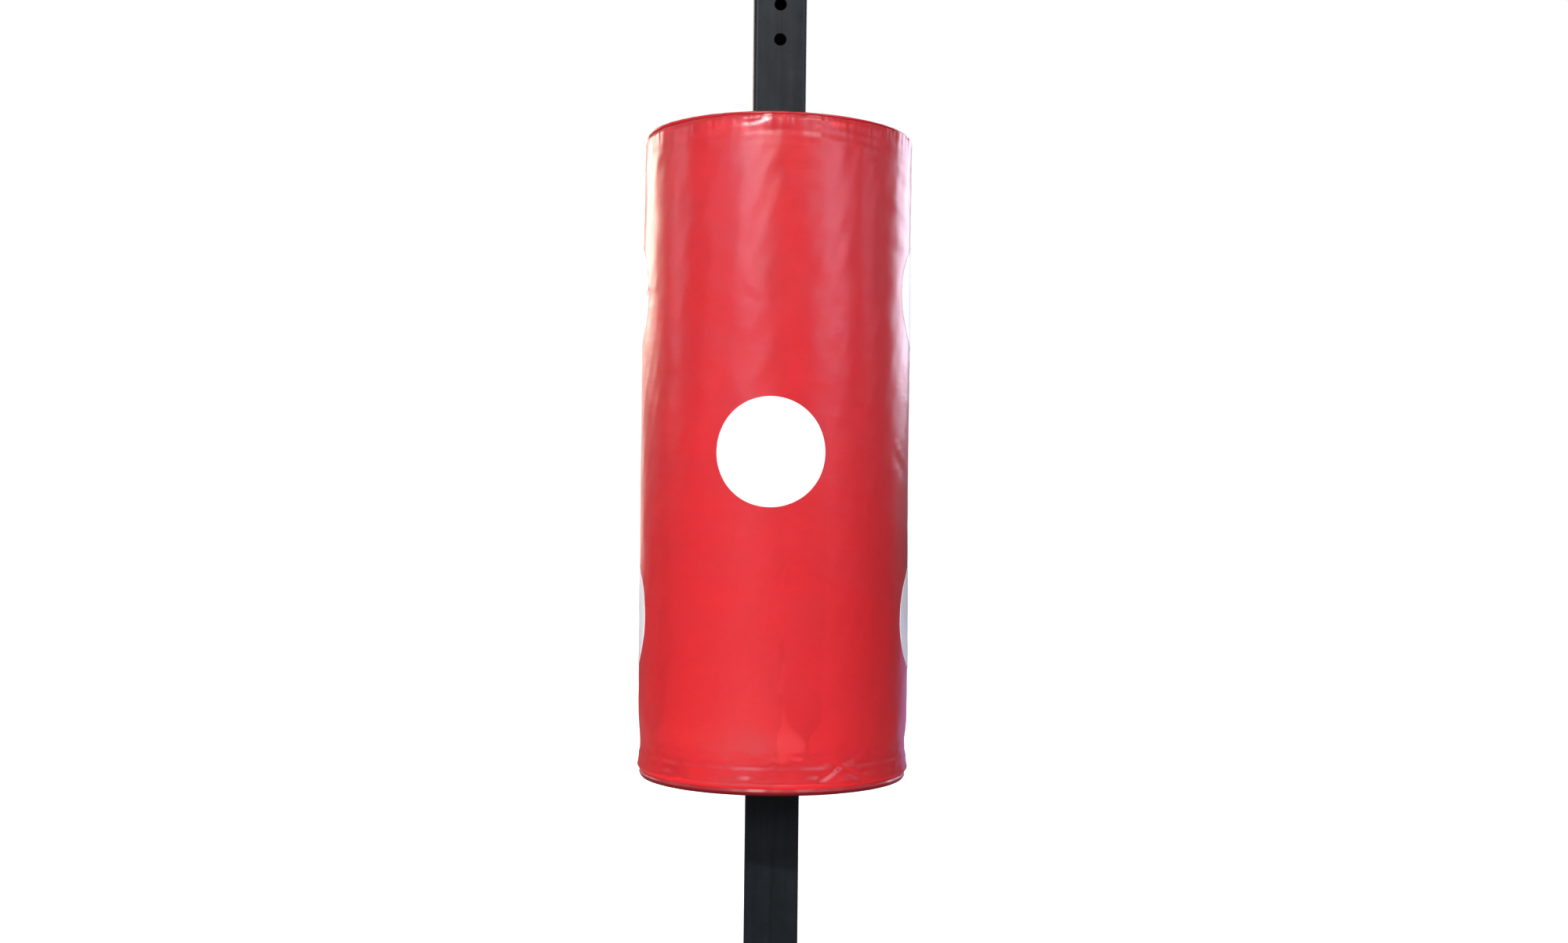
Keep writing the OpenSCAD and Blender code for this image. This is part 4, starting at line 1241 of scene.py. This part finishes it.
# %% Finish the engineering parts
SPLIT_WITHIN, FLAT_WITHIN, SHARP_FROM = 0.01 * MM, math.radians(0.5), math.radians(40)
FINISH_OF = {  # material, and rounding of the edges in millimetres
    "post_tube": (powder_coat, 0.5), "base_plate": (powder_coat, 1.0), "gusset": (powder_coat, 0.8),
    "post_cap": (cap_plastic, 0.8), "lower_collar_screws": (screw_steel, 0.5),
    "upper_collar_screws": (screw_steel, 0.5), "lower_collar": (collar_metal, 0.6),
    "upper_collar": (collar_metal, 0.6), "lower_bearing": (bearing_plastic, 0.8),
    "upper_bearing": (bearing_plastic, 0.8), "core_tube": (core_plastic, 0.5),
    "bottom_end_plate": (plywood, 0.8), "top_end_plate": (plywood, 0.8), "inner_foam": (firm_foam, 0.0),
    "zip_tape": (tape_cloth, 0.0), "zip_slider": (zip_metal, 0.25), "zip_pull": (zip_metal, 0.3)}
for name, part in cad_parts.items():
    known = [key for key in FINISH_OF if name.startswith(key)]
    if part.hide_render or not known:
        continue
    material, rounding = FINISH_OF[max(known, key=len)]
    if not part.material_slots:
        part.data.materials.append(material)
    for held in part.material_slots:
        held.material = material
    if rounding:
        weld = part.modifiers.new("join_corners", "WELD")
        weld.merge_threshold = SPLIT_WITHIN
        join = part.modifiers.new("join_flat_faces", "DECIMATE")
        join.decimate_type, join.angle_limit = "DISSOLVE", FLAT_WITHIN
        bevel = part.modifiers.new("round_edges", "BEVEL")
        bevel.width, bevel.segments = rounding * MM, 2
        bevel.limit_method, bevel.angle_limit = "ANGLE", SHARP_FROM
        bevel.use_clamp_overlap = True
        flatten = part.modifiers.new("flat_faces", "WEIGHTED_NORMAL")
        flatten.keep_sharp = True
print("finished", sum(not part.hide_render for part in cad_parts.values()), "engineering parts")

# %% [markdown]
# ## Weld beads
#
# The post and its gussets are welded to the base plate under the powder coat. A fillet weld fills
# an inside corner with a three-cornered bead whose face is rippled, one ripple for each dip of the
# torch, about 3 mm apart. A bead is made by carrying that small cross-section along the corner:
# two legs lie on the two plates and the face between them swells and sinks with the ripples.

# %% Fillet welds
WELD_LEG, RIPPLE_PITCH, WELD_STEP = 4.5 * MM, 3.0 * MM, 0.75 * MM
WELD_ROOT, BEAD_ANGLES = 0.4 * MM, (-6, 12, 30, 45, 60, 78, 96)


def bead(path, first_side, second_side):
    """Points and faces of a weld along a path, between two plates that it leans on."""
    spans = np.linalg.norm(np.diff(path, axis=0), axis=1)
    travel = np.concatenate([[0], np.cumsum(spans)])
    places = np.linspace(0, travel[-1], max(8, int(travel[-1] / WELD_STEP)))

    def along(values):
        return np.stack([np.interp(places, travel, values[:, i]) for i in range(3)], -1)

    middle, one, two = along(path), unit(along(first_side)), unit(along(second_side))
    ends = np.minimum(1, np.minimum(places, travel[-1] - places) / (1.6 * WELD_LEG) + 0.35)
    ripple = 1 + 0.10 * np.sqrt(np.abs(np.sin(math.pi * places / RIPPLE_PITCH)))
    leg = (WELD_LEG * ends * ripple)[:, None]
    rows = [middle - WELD_ROOT * (one + two)]
    rows += [middle + leg * (one * math.cos(a) + two * math.sin(a)) * (0.80 + 0.20 * abs(math.cos(2 * a)))
             for a in np.radians(BEAD_ANGLES)]
    points = np.stack(rows, 1)
    count, each = points.shape[:2]
    point = np.arange(count * each).reshape(count, each)
    following = np.roll(point, -1, 1)
    faces = np.stack([point[:-1], following[:-1], following[1:], point[1:]], -1).reshape(-1, 4).tolist()
    return points.reshape(-1, 3), faces + [point[0][::-1].tolist(), point[-1].tolist()]


post_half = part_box("post_tube")[1].x
plate_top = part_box("base_plate")[1].z
gusset_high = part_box("gusset_right")[1]
gusset_half, gusset_reach, gusset_top = gusset_high.y, gusset_high.x, gusset_high.z
POST_CORNER, CLIP = 6 * MM, 9 * MM

corner_path = [(post_half, gusset_half + WELD_LEG, plate_top)]
corner_out = [(1.0, 0.0, 0.0)]
for a in np.radians(np.linspace(0, 90, 10)):
    corner_path.append((post_half - POST_CORNER * (1 - math.cos(a)),
                        post_half - POST_CORNER * (1 - math.sin(a)), plate_top))
    corner_out.append((math.cos(a), math.sin(a), 0.0))
corner_path.append((gusset_half + WELD_LEG, post_half, plate_top))
corner_out.append((0.0, 1.0, 0.0))
weld_lines = [(corner_path, corner_out, [(0, 0, 1)] * len(corner_path))]
for side in (1, -1):
    foot = [(post_half + CLIP + WELD_LEG / 2, side * gusset_half, plate_top),
            (gusset_reach - MM, side * gusset_half, plate_top)]
    web = [(post_half, side * gusset_half, plate_top + CLIP + WELD_LEG / 2),
           (post_half, side * gusset_half, gusset_top - MM)]
    weld_lines.append((foot, [(0, side, 0)] * 2, [(0, 0, 1)] * 2))
    weld_lines.append((web, [(0, side, 0)] * 2, [(1, 0, 0)] * 2))

for corner in range(4):
    a = corner * TURN / 4
    turn = np.array([[math.cos(a), -math.sin(a), 0], [math.sin(a), math.cos(a), 0], [0, 0, 1]])
    bead_points, bead_faces = [], []
    for line in weld_lines:
        points, faces = bead(*(np.array(values, float) @ turn.T for values in line))
        bead_faces += [[p + len(bead_points) for p in face] for face in faces]
        bead_points += points.tolist()
    beads = piece(f"weld_beads_{corner + 1}", bead_points, bead_faces, [powder_coat],
                  "post", sharp=70)
    turn_outwards(beads)
print("weld lines:", 4 * len(weld_lines))

# %% [markdown]
# ## Fill light for the cover
#
# A studio fills the lower half of a tall red object from below, so that it doesn't darken toward
# the floor. Here one panel does that from under the floor. It is linked to the outside of the pad
# alone: only those pieces receive it, and only they block it, so the post keeps its shadow.

# %% Fill light
FILL = ("fill_below", -24, -46, 2.0, 2.2, 1.2, 8.1, "FFFFFF")  # in the same order as the other panels

filled = bpy.data.collections.new("lit_from_below")
for lit in (wrap, piping, *targets.values()):
    filled.objects.link(lit)
fill = panel(*FILL)
fill.light_linking.receiver_collection = filled
fill.light_linking.blocker_collection = filled
print("fill light", round(fill.location.z, 2), "m from the floor")

# %% [markdown]
# ## The finished model's size
#
# The finished model should fill the same box as the engineering model, give or take the stretch
# of the cover. The last step only brings the scene up to date.

# %% Bring the scene up to date
bpy.context.view_layer.update()
